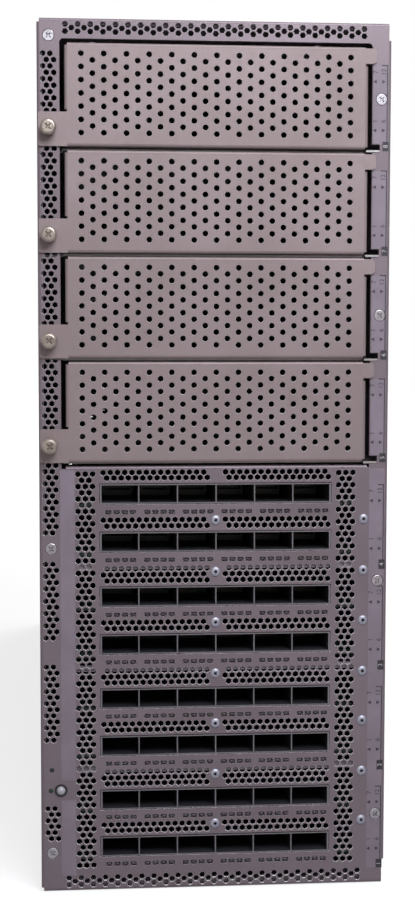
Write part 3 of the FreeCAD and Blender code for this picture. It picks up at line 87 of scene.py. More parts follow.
SLOT_TOPS = [sheet_places("slot_cover_%d" % (k + 1))[1] for k in range(4)]
SLOT_PITCH = (SLOT_TOPS[3] - SLOT_TOPS[0]) / 3
BAYS = [top - 1.3 for top in SLOT_TOPS]      # where the bay of each slot starts
DIVIDERS = [bay + SLOT_PITCH for bay in BAYS]
ROWS = [middle_of("port_cage_%d" % (k + 1))[1] for k in range(8)]
PORT_BAYS = [row - 15.3 for row in ROWS[::2]]    # each holds two rows of ports
print("slots below the top", [round(t, 1) for t in SLOT_TOPS])
print("port rows below the top", [round(r, 1) for r in ROWS])

# %% [markdown]
# Colours are written as the hex values that a paint card or a screen gives. Blender's shaders work
# in linear light, so one function converts them. A second small function adds any shader node with
# its settings and links. The nodes could be placed by hand in the shader editor, but a recipe in
# code is read from top to bottom, and a finish is changed by one number.

# %% Colour and node helpers
def hex_colour(code):
    """Linear RGBA of an sRGB hex colour such as A9A0AC."""
    parts = [int(code[k:k + 2], 16) / 255 for k in (0, 2, 4)]
    linear = [c / 12.92 if c <= 0.04045 else ((c + 0.055) / 1.055) ** 2.4 for c in parts]
    return (*linear, 1.0)


def add(tree, kind, inputs=None, **settings):
    """Adds a node; inputs maps a socket to a number, a hex colour or another node's output."""
    made = tree.nodes.new("ShaderNode" + kind)
    for key, value in settings.items():
        setattr(made, key, value)
    for key, value in (inputs or {}).items():
        if isinstance(value, bpy.types.NodeSocket):
            tree.links.new(value, made.inputs[key])
        elif isinstance(value, str):
            made.inputs[key].default_value = hex_colour(value)
        else:
            made.inputs[key].default_value = value
    return made


def start_material(name):
    """An empty material, its node tree, and the place on the piece in metres."""
    material = bpy.data.materials.new(name)
    material.use_nodes = True
    tree = material.node_tree
    tree.nodes.clear()
    return material, tree, add(tree, "TexCoord").outputs["Object"]


def grains(size_mm):
    """Scale of a noise whose grains are size_mm across."""
    return 1.0 / (size_mm * MM)


print("mid grey in linear light", [round(c, 3) for c in hex_colour("808080")])

# %% [markdown]
# ## Satin paint on steel
# The bezel and the chassis are folded steel, sprayed with a satin grey paint that has a violet
# tinge. Worn edges could come from Blender's Bevel node, which is slow on thousands of holes, or
# from Pointiness, which needs a fine mesh. So the wear is noise at two scales, on chamfers that
# are real geometry.

# %% Painted steel
def painted_steel(name, colour, shade, rubbed, grit_mm, roughness, metallic):
    """Sprayed satin paint: even colour, faint clouds, orange peel and rubbed specks."""
    material, tree, place = start_material(name)
    clouds = add(tree, "TexNoise", {"Vector": place, "Scale": grains(60), "Detail": 3}).outputs[0]
    specks = add(tree, "TexNoise", {"Vector": place, "Scale": grains(grit_mm), "Detail": 2,
                                    "Roughness": 0.6}).outputs[0]
    cloudy = add(tree, "MapRange", {0: clouds, 1: 0.35, 2: 0.7}).outputs[0]
    coat = add(tree, "Mix", {0: cloudy, 6: colour, 7: shade}, data_type="RGBA").outputs[2]
    worn = add(tree, "MapRange", {0: specks, 1: 0.66, 2: 0.74, 4: 0.55}).outputs[0]
    paint = add(tree, "Mix", {0: worn, 6: coat, 7: rubbed}, data_type="RGBA").outputs[2]
    gloss = add(tree, "MapRange", {0: clouds, 1: 0.3, 2: 0.7, 3: roughness - 0.02,
                                   4: roughness + 0.03}).outputs[0]
    peel = add(tree, "Bump", {"Height": specks, "Distance": 0.02 * MM, "Strength": 0.6}).outputs[0]
    shader = add(tree, "BsdfPrincipled", {"Base Color": paint, "Roughness": gloss,
                                          "Metallic": metallic, "Normal": peel})
    add(tree, "OutputMaterial", {"Surface": shader.outputs[0]})
    return material


# The orange peel is about 0.3 mm on the real sheet. It is drawn a little coarser, so that it shows
# as a faint tooth in the paint. Some metal flake under the coat gives a soft sheen.
BEZEL_PAINT = painted_steel("satin_grey_paint_on_steel", "7E7179", "74676E", "9D929B",
                            0.5, 0.5, 0.4)
# The same paint, flatter where no hand polishes it: the long sides read as broad and quiet.
CHASSIS_PAINT = painted_steel("satin_grey_chassis_paint", "8A8086", "867C82", "9A9197",
                              0.7, 0.64, 0.2)
print("paints", len(bpy.data.materials) - cad_finishes)

# %% [markdown]
# ## Plated and bare steel
# Covers, dividers, cages and trays are sheet from a roll, plated or left bare, so their surface has
# a fine grain along one direction. An anisotropic shader could give it, but it needs tangents that
# the export drops. A noise stretched along the sheet roughens it instead. Rims of punched holes get
# a painted highlight and cage edges their cut steel; the darker steel behind the vents and in the
# cages is painted shade.

# %% Plated steel
def plated_steel(name, colour, shade, stain, roughness, lines_mm, metallic):
    """Plated sheet: a rolled grain along its length, cloudy plating and a few dull stains."""
    material, tree, place = start_material(name)
    rolled = add(tree, "Mapping", {0: place, 3: (1.0, 1.0, 0.04)}).outputs[0]
    grain = add(tree, "TexNoise", {"Vector": rolled, "Scale": grains(lines_mm), "Detail": 2,
                                   "Roughness": 0.6}).outputs[0]
    clouds = add(tree, "TexNoise", {"Vector": place, "Scale": grains(45), "Detail": 3,
                                    "Roughness": 0.55}).outputs[0]
    stains = add(tree, "TexNoise", {"Vector": place, "Scale": grains(16), "Detail": 4,
                                    "Roughness": 0.6}).outputs[0]
    cloudy = add(tree, "MapRange", {0: clouds, 1: 0.3, 2: 0.7}).outputs[0]
    coat = add(tree, "Mix", {0: cloudy, 6: colour, 7: shade}, data_type="RGBA").outputs[2]
    dulled = add(tree, "MapRange", {0: stains, 1: 0.62, 2: 0.78, 4: 0.4}).outputs[0]
    plate = add(tree, "Mix", {0: dulled, 6: coat, 7: stain}, data_type="RGBA").outputs[2]
    gloss = add(tree, "MapRange", {0: grain, 1: 0.3, 2: 0.7, 3: roughness - 0.06,
                                   4: roughness + 0.08}).outputs[0]
    lines = add(tree, "Bump", {"Height": grain, "Distance": 0.006 * MM, "Strength": 0.5}).outputs[0]
    shader = add(tree, "BsdfPrincipled", {"Base Color": plate, "Roughness": gloss,
                                          "Metallic": metallic, "Normal": lines})
    add(tree, "OutputMaterial", {"Surface": shader.outputs[0]})
    return material


# Rolled lines are under 0.1 mm apart in fact. They are drawn coarser, so that they show at all.
# Clear plating on the covers: a slightly warm sheen that sets them off from the violet paint.
COVER_PLATE = plated_steel("clear_plated_steel_cover", "918284", "867778", "756762",
                           0.58, 0.25, 0.4)
# Zinc on the trays, supplies and dividers: bright, cool and a little cloudy.
BARE_STEEL = plated_steel("galvanised_steel_sheet", "B9B6B8", "A4A1A4", "8B888C", 0.34, 0.4, 0.8)
# Painted shade: the nickel of the cages is made nearly black, so that the ports read as deep.
CAGE_PAINTED_SHADE = plated_steel("nickel_cage_painted_shade", "39393F", "323238", "2B2B30", 0.5, 0.2, 0.4)
# The sheared edge of that sheet: a thin light line that draws each port.
CAGE_EDGE = plated_steel("cut_edge_of_cage", "7B767B", "716C71", "615C61", 0.42, 0.2, 0.4)
# Painted shade: the frame's steel is made dark where it stays behind the vents, so the holes look
# black.
FRAME_PAINTED_SHADE = plated_steel("frame_steel_painted_shade", "4B484D", "434045", "39363B", 0.55, 0.4, 0.3)
# Painted shade: the partitions' steel is darkened to a grey line where their edges stand close
# behind the vents.
PARTITION_PAINTED_SHADE = plated_steel("partition_steel_painted_shade", "7A757A", "6E696E", "5E595E", 0.5, 0.4, 0.3)
# Painted highlight on the rims of holes: a bright edge, as the side of a hole that meets the light
# shows.
RIM_PAINTED_HIGHLIGHT = plated_steel("painted_highlight_on_hole_rims", "D2CAD0", "C4BCC2", "A59DA3", 0.42, 0.2, 0.4)
print("finishes with sheet metal", len(bpy.data.materials) - cad_finishes)

# %% [markdown]
# ## Turned metal
# Screws, rivets and heat sinks are small, so little of their surface shows but their shine. Rings
# left by a lathe tool could be drawn as waves round each axis, but on heads of 5 mm they would be
# far too fine to see. A fine noise breaks the highlight up as such marks do.

# %% Turned metal
def turned_metal(name, colour, shade, roughness):
    """Turned and plated small part: fine machining marks and patchy shine."""
    material, tree, place = start_material(name)
    marks = add(tree, "TexNoise", {"Vector": place, "Scale": grains(0.35), "Detail": 3,
                                   "Roughness": 0.6}).outputs[0]
    clouds = add(tree, "TexNoise", {"Vector": place, "Scale": grains(3), "Detail": 2}).outputs[0]
    patchy = add(tree, "MapRange", {0: clouds, 1: 0.35, 2: 0.65}).outputs[0]
    coat = add(tree, "Mix", {0: patchy, 6: colour, 7: shade}, data_type="RGBA").outputs[2]
    gloss = add(tree, "MapRange", {0: marks, 1: 0.3, 2: 0.7, 3: roughness - 0.06,
                                   4: roughness + 0.1}).outputs[0]
    cuts = add(tree, "Bump", {"Height": marks, "Distance": 0.012 * MM, "Strength": 0.5}).outputs[0]
    shader = add(tree, "BsdfPrincipled", {"Base Color": coat, "Roughness": gloss,
                                          "Metallic": 0.9, "Normal": cuts})
    add(tree, "OutputMaterial", {"Surface": shader.outputs[0]})
    return material


# Machining marks are about 0.1 mm apart in fact, and are drawn coarser so that they show.
# Bright zinc: cold, clear highlights on the countersunk heads.
ZINC_SCREW = turned_metal("zinc_plated_screw", "B5B1B8", "A19DA4", 0.34)
# Nickel on turned steel: warmer and duller, with the handling that a thumbscrew gets.
THUMB_METAL = turned_metal("nickel_plated_thumbscrew", "B4A89F", "9A8E86", 0.34)
# Extruded aluminium, neutral and silky.
SINK_METAL = turned_metal("extruded_aluminium", "B8BABC", "A9ABAD", 0.4)
# Aluminium upset by a riveting tool: a pale dome with a broad, soft highlight.
RIVET_METAL = turned_metal("aluminium_rivet", "ACABB8", "9E9DAA", 0.5)
print("finishes with turned metal", len(bpy.data.materials) - cad_finishes)

# %% [markdown]
# ## Moulded plastic, film and ink
# A mould's walls are spark-eroded, and the plastic takes over that fine, even texture. It could be
# left out as too fine, but then highlights turn as sharp as glass. Film and ink get the same
# recipe, with a duller surface. Clear kinds let part of the light through.

# %% Moulded plastic
ACRYLIC_IOR, PLASTIC_IOR = 1.49, 1.53


def moulded_plastic(name, colour, shade, roughness, grain_mm=0.6, clear=0.0):
    """Moulded plastic with a fine spark-eroded texture; clear above 0 lets light through."""
    material, tree, place = start_material(name)
    texture = add(tree, "TexNoise", {"Vector": place, "Scale": grains(grain_mm), "Detail": 2,
                                     "Roughness": 0.55}).outputs[0]
    clouds = add(tree, "TexNoise", {"Vector": place, "Scale": grains(12), "Detail": 2}).outputs[0]
    patchy = add(tree, "MapRange", {0: clouds, 1: 0.35, 2: 0.65}).outputs[0]
    tint = add(tree, "Mix", {0: patchy, 6: colour, 7: shade}, data_type="RGBA").outputs[2]
    gloss = add(tree, "MapRange", {0: texture, 1: 0.3, 2: 0.7, 3: roughness - 0.05,
                                   4: roughness + 0.08}).outputs[0]
    pits = add(tree, "Bump", {"Height": texture, "Distance": 0.02 * MM, "Strength": 0.5}).outputs[0]
    shader = add(tree, "BsdfPrincipled", {"Base Color": tint, "Roughness": gloss, "Normal": pits,
                                          "IOR": ACRYLIC_IOR if clear else PLASTIC_IOR,
                                          "Transmission Weight": clear})
    add(tree, "OutputMaterial", {"Surface": shader.outputs[0]})
    return material


# Eroded texture is about 0.05 mm in fact, and is drawn coarser so that it softens the highlight.
# Frosted acrylic: milky, so a light pipe looks filled with light and not hollow.
CLEAR_PIPE = moulded_plastic("frosted_acrylic", "B9BCC0", "A9ACB0", 0.4, 0.4, 0.35)
# Painted shade: dark brown acrylic, so a lamp that is off is only a dull brown patch in its window.
LENS_PAINTED_SHADE = moulded_plastic("lamp_lens_painted_shade", "443C40", "3A3337", 0.35, 0.4)
# ABS in black for fans and sockets: deep, with a soft gleam along the blades.
BLACK_ABS = moulded_plastic("black_moulded_abs", "17171A", "222226", 0.42)
# ABS in a pale grey for the button: the lightest dot on the front.
BUTTON_ABS = moulded_plastic("pale_moulded_button", "B9B6BD", "ABA8AF", 0.35)
# Glass-filled nylon: a dark grey-green that marks what a hand may squeeze.
LEVER_NYLON = moulded_plastic("dark_nylon_lever", "2E4A45", "27403C", 0.45)
# Matt polyester film: the label strips look a little more violet and flatter than the paint.
LABEL_FILM = moulded_plastic("matt_polyester_label", "837783", "7B6F7B", 0.6, 0.35)
# Screen-printed ink, dead flat, in black for the marks and in pale for numbers on black.
PRINT_INK = moulded_plastic("black_screen_print", "28252B", "322F36", 0.6, 0.3)
PALE_INK = moulded_plastic("pale_screen_print", "B9B0BC", "ADA4B0", 0.6, 0.3)
print("finishes with plastics", len(bpy.data.materials) - cad_finishes)

# %% [markdown]
# ## Circuit boards
# A circuit board is glass fibre under a lacquer, and its copper tracks lie under that lacquer as
# slightly raised, lighter lines. They could be an image, but a brick pattern with long cells gives
# such runs of tracks at any distance, and a noise breaks them up into fields.

# %% Lacquered circuit board
def circuit_board(name):
    """Dark green lacquer over copper tracks, with bare fields between them."""
    material, tree, place = start_material(name)
    turned = add(tree, "Mapping", {0: place, 2: (math.radians(90), 0, 0)}).outputs[0]
    tracks = add(tree, "TexBrick", {"Vector": turned, "Scale": 1.0, "Mortar Size": 0.3 * MM,
                                    "Brick Width": 14 * MM, "Row Height": 2.4 * MM}).outputs["Fac"]
    fields = add(tree, "TexNoise", {"Vector": place, "Scale": grains(7), "Detail": 2}).outputs[0]
    crowded = add(tree, "MapRange", {0: fields, 1: 0.45, 2: 0.55}).outputs[0]
    shown = add(tree, "Math", {0: tracks, 1: crowded}, operation="MULTIPLY").outputs[0]
    clouds = add(tree, "TexNoise", {"Vector": place, "Scale": grains(30), "Detail": 2}).outputs[0]
    cloudy = add(tree, "MapRange", {0: clouds, 1: 0.3, 2: 0.7}).outputs[0]
    lacquer = add(tree, "Mix", {0: cloudy, 6: "16251F", 7: "1B2D26"}, data_type="RGBA").outputs[2]
    board = add(tree, "Mix", {0: shown, 6: lacquer, 7: "34503F"}, data_type="RGBA").outputs[2]
    gloss = add(tree, "MapRange", {0: fields, 1: 0.3, 2: 0.7, 3: 0.28, 4: 0.4}).outputs[0]
    raised = add(tree, "Bump", {"Height": tracks, "Distance": 0.04 * MM,
                                "Strength": 0.5}).outputs[0]
    shader = add(tree, "BsdfPrincipled", {"Base Color": board, "Roughness": gloss,
                                          "Normal": raised})
    add(tree, "OutputMaterial", {"Surface": shader.outputs[0]})
    return material


# Tracks are 0.1 mm wide in fact and are drawn at 0.3 mm. The eye gets a dark, glossy green with a
# faint weave of lighter lines.
BOARD = circuit_board("lacquered_circuit_board")
print("all finishes", len(bpy.data.materials) - cad_finishes)

# %% [markdown]
# ## Finishes for the pieces that CAD already shapes well
# Boards, trays and supplies have their final shape in CAD, so they stay and only get a finish.
# They could be dressed one by one, but names that differ by a number share one finish, so a table
# lists them without it. The frame and the partitions behind the vents get steel painted darker as
# shade, so that the holes in front of them read as holes.

# %% Dressing the CAD nodes
FINISHES = {
    "chassis_paint": (CHASSIS_PAINT, "chassis_base top_cover"),
    "bezel_paint": (BEZEL_PAINT, "front_bezel"),
    "cover_paint": (COVER_PLATE, "slot_cover"),
    "bare_steel": (BARE_STEEL, "front_frame slot_dividers card_partitions power_shelf rear_frame "
                   "fan_tray power_supply management_module"),
    "zinc_screw": (ZINC_SCREW, "faceplate_rivets flush_screws"),
    "thumbscrew_metal": (THUMB_METAL, "cover_thumbscrew"),
    "cage_metal": (CAGE_PAINTED_SHADE, "port_cage"),
    "circuit_board": (BOARD, "port_card indicator_board midplane switch_board power_backplane"),
    "clear_plastic": (CLEAR_PIPE, "light_pipes"),
    "black_plastic": (BLACK_ABS, "fan_rotor button_bushing"),
    "button_plastic": (BUTTON_ABS, "locator_button"),
    "sink_aluminium": (SINK_METAL, "heat_sinks"),
    "latch_plastic": (LEVER_NYLON, "power_latch"),
}
dressed = set()
for slot_name, (material, kinds) in FINISHES.items():
    for name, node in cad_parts.items():
        if name.rstrip("0123456789").rstrip("_") in kinds.split():
            node.data.materials.clear()
            node.data.materials.append(material)
            dressed.add(name)
# Painted shade on the frame and the partitions behind the vents.
for name, material in (("front_frame", FRAME_PAINTED_SHADE), ("card_partitions", PARTITION_PAINTED_SHADE)):
    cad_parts[name].data.materials[0] = material
print("dressed", len(dressed), "of", len(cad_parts), set(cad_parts) - dressed)

# %% [markdown]
# ## Loops: outlines and holes
# A punched sheet is an outline with holes, as in the file that drives a turret punch. Each could be
# a curve object, but a plain list of points is easier to check and to move. Hexagons and circles
# are one function with a number of sides, and an outline gets real corner radii.

# %% Loops
def ring(a, d, radius, sides, start=0.0):
    """Regular loop; start turns its first corner, in degrees from the +a direction."""
    turn = [math.radians(start + 360.0 * k / sides) for k in range(sides)]
    return [(a + radius * math.cos(t), d + radius * math.sin(t)) for t in turn]


def rounded(points, steps=4):
    """Loop through corners (a, d, radius), with an arc at each corner that has a radius."""
    loop = []
    for k, (a, d, radius) in enumerate(points):
        if not radius:
            loop.append((a, d))
            continue
        before, after = points[k - 1], points[(k + 1) % len(points)]
        here = Vector((a, d))
        one = (Vector(before[:2]) - here).normalized()
        two = (Vector(after[:2]) - here).normalized()
        half = one.angle(two) / 2
        centre = here + (one + two).normalized() * radius / math.sin(half)
        first = here + one * radius / math.tan(half) - centre
        last = here + two * radius / math.tan(half) - centre
        for s in range(steps + 1):
            arm = first.slerp(last, s / steps).normalized() * radius
            loop.append((centre.x + arm.x, centre.y + arm.y))
    return loop


def rectangle(a0, d0, a1, d1, radius=0.0, steps=4):
    """Rectangular loop whose corners all have one radius."""
    return rounded([(a0, d0, radius), (a1, d0, radius), (a1, d1, radius), (a0, d1, radius)], steps)


print("points of a rectangle with rounded corners", len(rectangle(0, 0, 20, 10, 1.0)))

# %% [markdown]
# Three small tools work on loops: one makes them all run the same way round, one moves a loop
# outwards for a chamfer, and one tells whether a point is in it. A geometry library would have
# them, but written out they are short, and it can be seen what they do at a corner.

# %% Tools for loops
def oriented(loop):
    """The loop with its points running so that its area is positive."""
    area = sum(loop[k - 1][0] * loop[k][1] - loop[k][0] * loop[k - 1][1]
               for k in range(len(loop)))
    return loop if area > 0 else loop[::-1]


def grown(loop, distance):
    """The loop moved outwards by a distance, along its corners' bisectors."""
    loop = oriented(loop)
    sharpest = 0.3               # keeps the corner of a narrow point from running away
    moved = []
    for k in range(len(loop)):
        p, q, r = (Vector(loop[k - 1]), Vector(loop[k]), Vector(loop[(k + 1) % len(loop)]))
        n1 = Vector(((q - p).y, -(q - p).x)).normalized()
        n2 = Vector(((r - q).y, -(r - q).x)).normalized()
        both = n1 + n2
        moved.append(tuple(q + both * distance / max(sharpest, both.dot(n1))))
    return moved


def inside(point, loop):
    """Whether a point lies in a loop: a line from it crosses the loop an odd number of times."""
    x, y = point
    odd = False
    for k in range(len(loop)):
        (x0, y0), (x1, y1) = loop[k - 1], loop[k]
        if (y0 > y) != (y1 > y) and x < x0 + (y - y0) * (x1 - x0) / (y1 - y0):
            odd = not odd
    return odd


print("a square grown by 1 mm", grown(rectangle(0, 0, 10, 10), 1.0))

# %% [markdown]
# ## Punched sheet
# The bezel is one sheet with some two thousand holes. A boolean for each would take minutes and
# leave ragged meshes. Instead the sheet is triangulated once between its loops (a constrained
# Delaunay fill), then given thickness: a front face, a small chamfer round every edge that catches
# the light, straight walls and a back.

# %% Punched sheet
def punched_sheet(outline, holes, front, thickness, chamfer=0.1, bright=()):
    """Sheet with holes, those in bright with rim faces for a painted highlight; millimetres, but
    front in metres.
    """
    loops = [oriented(outline)] + [oriented(h) for h in [*holes, *bright]]
    shrunk = [grown(loops[0], -chamfer)] + [grown(h, chamfer) for h in loops[1:]]
    flat, owner, edges = [], [], []
    for index, loop in enumerate(shrunk):
        first = len(flat)
        flat += [Vector(p) for p in loop]
        owner += [index] * len(loop)
        edges += [(first + k, first + (k + 1) % len(loop)) for k in range(len(loop))]
    _, _, faces, origin, _, _ = delaunay_2d_cdt(flat, edges, [], 1, 1e-6)
    back_to = [o[0] if o else None for o in origin]
    triangles = []
    for face in faces:
        corners = [back_to[v] for v in face]
        if None in corners:
            raise ValueError("loops of a sheet cross each other")
        home = {owner[v] for v in corners}
        if len(home) == 1:       # only such a triangle can fill a hole or bridge the outline
            index = home.pop()
            middle = sum((flat[v] for v in corners), Vector((0, 0))) / 3
            if inside(middle, shrunk[index]) == (index > 0):
                continue
        triangles.append(corners)
    nominal = [p for loop in loops for p in loop]
    count = len(flat)
    points = [at(p.x, p.y, front) for p in flat]
    points += [at(*p, front + chamfer * MM) for p in nominal]
    points += [at(*p, front + thickness * MM) for p in nominal]
    faces = [tuple(t) for t in triangles]
    faces += [tuple(v + 2 * count for v in reversed(t)) for t in triangles]
    first_bright = sum(len(loop) for loop in loops[:len(holes) + 1])
    rim_faces_from = len(faces) + 2 * first_bright
    for one, two in edges:       # each edge of a loop carries its chamfer and its wall
        faces.append((one, two, two + count, one + count))
        faces.append((one + count, two + count, two + 2 * count, one + 2 * count))
    return points, faces, rim_faces_from


sample = punched_sheet(rectangle(0, 0, 20, 20), [ring(10, 10, 3, 24)], BEZEL_FRONT, 1.2)
print("faces of a square sheet with one round hole", len(sample[1]))

# %% [markdown]
# ## Folded edges
# A press brake folds an edge over: an arc of the sheet's thickness and then a straight leg. The
# Bevel modifier could round a box, but inside and outside of a bend have different radii. A flange
# is built as that true profile, drawn along the fold from one point to another.

# %% Folded flange
def flange(start, end, outward, front, radius, depth, thickness, steps=6):
    """Bend and leg from start to end (a, d), folded back from the plane of the sheet."""
    turns = [math.pi / 2 * k / steps for k in range(steps + 1)]
    inner = radius - thickness
    profile = [(radius * (math.sin(t) - 1), radius * (1 - math.cos(t))) for t in turns]
    profile += [(0.0, depth), (-thickness, depth)]
    profile += [(inner * math.sin(t) - radius, radius - inner * math.cos(t))
                for t in reversed(turns)]
    points = [at(a + outward[0] * out, d + outward[1] * out, front + back * MM)
              for a, d in (start, end) for out, back in profile]
    size = len(profile)
    faces = [(k, (k + 1) % size, (k + 1) % size + size, k + size) for k in range(size)]
    faces += [tuple(range(size)), tuple(range(2 * size - 1, size - 1, -1))]
    return points, faces


print("faces of a fold", len(flange((0, 0), (10, 0), (0, -1), BEZEL_FRONT, 1.25, 14, 1.2)[1]))

# %% [markdown]
# ## From parts to a piece
# A real piece is one lump of metal or plastic, so all its parts join in one mesh. They could stay
# apart under an empty, but one mesh is moved as one. Normals are made to point outwards, and
# edges sharper than 30 degrees stay crisp while bends and domes shade smoothly.

# %% Making a piece
def make_piece(name, parts, material, body, replaced=(), sharp=30.0, rim=None):
    """One object from several parts, riding on a CAD body; rim is a second finish for its rim
    faces.
    """
    points, faces, rims = [], [], []
    for part_points, part_faces, *rim_faces_from in parts:
        first = len(points)
        points += part_points
        if rim and rim_faces_from:
            rims += range(len(faces) + rim_faces_from[0], len(faces) + len(part_faces))
        faces += [tuple(v + first for v in face) for face in part_faces]
    mesh = bpy.data.meshes.new(name)
    mesh.from_pydata([tuple(p) for p in points], [], faces)
    work = bmesh.new()
    work.from_mesh(mesh)
    bmesh.ops.recalc_face_normals(work, faces=work.faces[:])
    work.to_mesh(mesh)
    work.free()
    mesh.shade_smooth()
    mesh.set_sharp_from_angle(angle=math.radians(sharp))
    mesh.materials.append(material)
    if rim:
        mesh.materials.append(rim)
    for index in rims:
        mesh.polygons[index].material_index = 1
    piece = bpy.data.objects.new(name, mesh)
    bpy.context.scene.collection.objects.link(piece)
    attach(piece, body)
    if replaced:
        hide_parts(*replaced)
    print("made", name, "with", len(faces), "faces")


# %% [markdown]
# ## Vents of the bezel
# Air enters through hexagonal holes, which leave more open area than round ones. Along both narrow
# sides they stand in bands of flat-topped hexagons. Beside the slots they are pointed ones in
# staggered rows. One regular array would miss the gaps that screws and folds need, so each run of
# vents has its own start, as on the drawing for a punch.

# %% Hexagonal vents
HEX = 1.66                   # corner radius of the largest hexagon, 2.9 mm across its flats
BAND_STEP = 6.212            # from one pair of holes in a vent band to the next
BAND_PAIRS = 25
STRIP_ROW = 3.1              # rows of the vent strip beside the slots
LOW_ROW = 3.135              # rows of the same strip beside the ports
STRIP_COLUMNS = ((2.95, 6.57), (4.76, 8.38))


def band_vents(middle):
    """Vent band along a narrow side: pairs of holes, with one between each pair and the next."""
    first, spread, radius = 14.0, 1.78, HEX - 0.06
    found = []
    for k in range(BAND_PAIRS):
        a = first + BAND_STEP * k
        found += [ring(a, middle - spread, radius, 6), ring(a, middle + spread, radius, 6)]
        if k < BAND_PAIRS - 1:
            found.append(ring(a + BAND_STEP / 2, middle, radius, 6))
    return found


def strip_vents(start, rows, shift=0.0, row=STRIP_ROW):
    """Vent strip on the cover side: two holes a row, every second row moved sideways."""
    return [ring(a + shift, start + row * k, HEX - 0.1, 6, 30)
            for k in range(rows) for a in STRIP_COLUMNS[k % 2]]


vents = band_vents(4.72) + band_vents(HEIGHT - 4.8)
vents += strip_vents(BAYS[0] + 6.4, 10)
for bay in BAYS[1:]:
    vents += strip_vents(bay - 2.8, 13)
vents += strip_vents(BAYS[3] + SLOT_PITCH - 2.4, 13)
vents += strip_vents(270.8, 13, row=LOW_ROW) + strip_vents(323.3, 13, row=LOW_ROW)
vents += strip_vents(396.4, 6, 0.4, row=LOW_ROW)
print("vents beside the slots and at the ends", len(vents))

# %% [markdown]
# Between the rows of ports run bands of fifteen pointed hexagons for each half, and at both ends
# of the rows stand columns of two and three. The first band lies just below the fold under the
# slots. An image with clear dots would be lighter, but only real holes show a depth, their rims
# with a painted highlight and what lies behind.

# %% Vents round the ports
HEX_STEP = 3.63              # holes of a band
BAND_SHIFT = 1.83            # every second band is moved by half a hole
BAND_HALVES = (32.0, 93.9)   # where both halves of a band start
COLUMN_ROW = 3.142           # rows of the vent columns beside the ports
COLUMN_MIDDLES = (23.05, 155.5)
COLUMN_HOLES = ((-3.65, 0.0, 3.65), (-1.825, 1.825))
SLOTS_END = 221.4            # lower end of the slot window, where the fold starts
FOLD_CLEAR = 3.2             # no hole stands nearer to the fold
UPPER_BANDS = ((-11.1, 0), (-8.05, 1), (13.3, 0), (16.4, 1))
LOWER_BANDS = UPPER_BANDS + ((-14.2, 1),)

places = []
for pair, row in enumerate(ROWS[::2]):
    for offset, kind in (LOWER_BANDS if pair else UPPER_BANDS):
        level = max(row + offset, SLOTS_END + FOLD_CLEAR)
        for half in BAND_HALVES:
            places += [(half + BAND_SHIFT * kind + HEX_STEP * k, level) for k in range(15)]
for k in range(65):
    for middle in COLUMN_MIDDLES:
        places += [(middle + a, 225.3 + COLUMN_ROW * k) for a in COLUMN_HOLES[k % 2]]
vents += [ring(a, d, HEX - 0.03, 6, 30) for a, d in places]
print("vents", len(vents))

# %% [markdown]
# Each row of six ports looks out of one long window, with four small lamp windows under each port.
# Blind rivets hold the sheet to the brackets of the cards. A window's rim gets a painted highlight,
# as a vent's does, so both go in one list, and the holes in plain paint in another.

# %% Port windows, lamp windows and rivet holes
PORT_PITCH = 19.6
LAMP_STEP = 4.13
LAMP_HALF = (1.5, 1.02)      # half width and half height of a lamp window
WINDOW = (30.0, 148.2, 5.3)  # both ends of a port window, and half its height
PORT_LAMPS = [(34.6 + LAMP_STEP * n + PORT_PITCH * port, level + 9.3)
              for level in ROWS for port in range(6) for n in range(4)]
RIVET_LEVELS = [bay + step for bay in PORT_BAYS for step in (3.0, 28.9)][1:]
RIVETS = [(a, d) for d in RIVET_LEVELS for a in (88.9, WIDTH - 12.2)]

holes_with_painted_rims = vents + [rectangle(WINDOW[0], level - WINDOW[2], WINDOW[1], level + WINDOW[2], 0.3, 2)
                      for level in ROWS]
holes = [rectangle(a - LAMP_HALF[0], d - LAMP_HALF[1], a + LAMP_HALF[0], d + LAMP_HALF[1], 0.25, 1)
         for a, d in PORT_LAMPS]
holes += [ring(a, d, 1.65, 16) for a, d in RIVETS]
# Holes with bare edges are those whose rims carry the painted highlight.
print("holes with bare edges", len(holes_with_painted_rims), "lamp windows and rivet holes", len(holes))

# %% [markdown]
# ## The bezel
# The whole front is one punched and folded sheet. Its upper window holds the slot covers. Beside it
# are notches where the tongues of the dividers come through, and countersunk holes take the
# screws. The flanges could be one frame round the sheet, but the real corners are open, so each
# edge has its own, and so has the sheet's edge under the slots.

# %% Bezel
BEZEL_SHEET = 1.2
BEND = 1.25                  # outer radius of a fold
FLANGE = 14.0
EDGE_CHAMFER = 0.12
SLOT_LEFT, SLOT_RIGHT = 11.2, WIDTH - 9.6
NOTCH_DEEP, NOTCH_ABOVE, NOTCH_BELOW = 4.0, 3.3, 0.8
SCREWS = [(5.8, 8.5), (5.8, 263.0), (5.8, 419.5)]
SCREWS += [(WIDTH - 4.8, d) for d in (37.5, 145.5, 281.0, 403.0)]
STATUS_LAMPS = [(5.6, 376.5), (5.0, 387.2)]
BUTTON = (10.1, 387.0)
THUMBS = [middle_of("cover_thumbscrew_%d" % (k + 1)) for k in range(4)]

window = [(SLOT_LEFT, 10.0, 2.0), (SLOT_RIGHT, 10.0, 2.0)]
for level in DIVIDERS:
    upper, lower, deep = level - NOTCH_ABOVE, level + NOTCH_BELOW, SLOT_RIGHT + NOTCH_DEEP
    window += [(SLOT_RIGHT, upper, 0), (deep, upper, 0.5), (deep, lower, 0.5),
               (SLOT_RIGHT, lower, 0)]
window += [(SLOT_RIGHT, SLOTS_END + BEND, 0), (SLOT_LEFT, SLOTS_END + BEND, 0)]
holes.append(rounded(window))
holes += [ring(a, d, 2.95, 24) for a, d in SCREWS]
holes += [ring(a, d, 2.3, 20) for a, d in THUMBS]
holes += [ring(a, d, 1.2, 16) for a, d in STATUS_LAMPS] + [ring(*BUTTON, 3.2, 28)]
outline = rectangle(BEND, BEND, WIDTH - BEND, HEIGHT - BEND)
fold = (BEZEL_FRONT, BEND, FLANGE, BEZEL_SHEET)
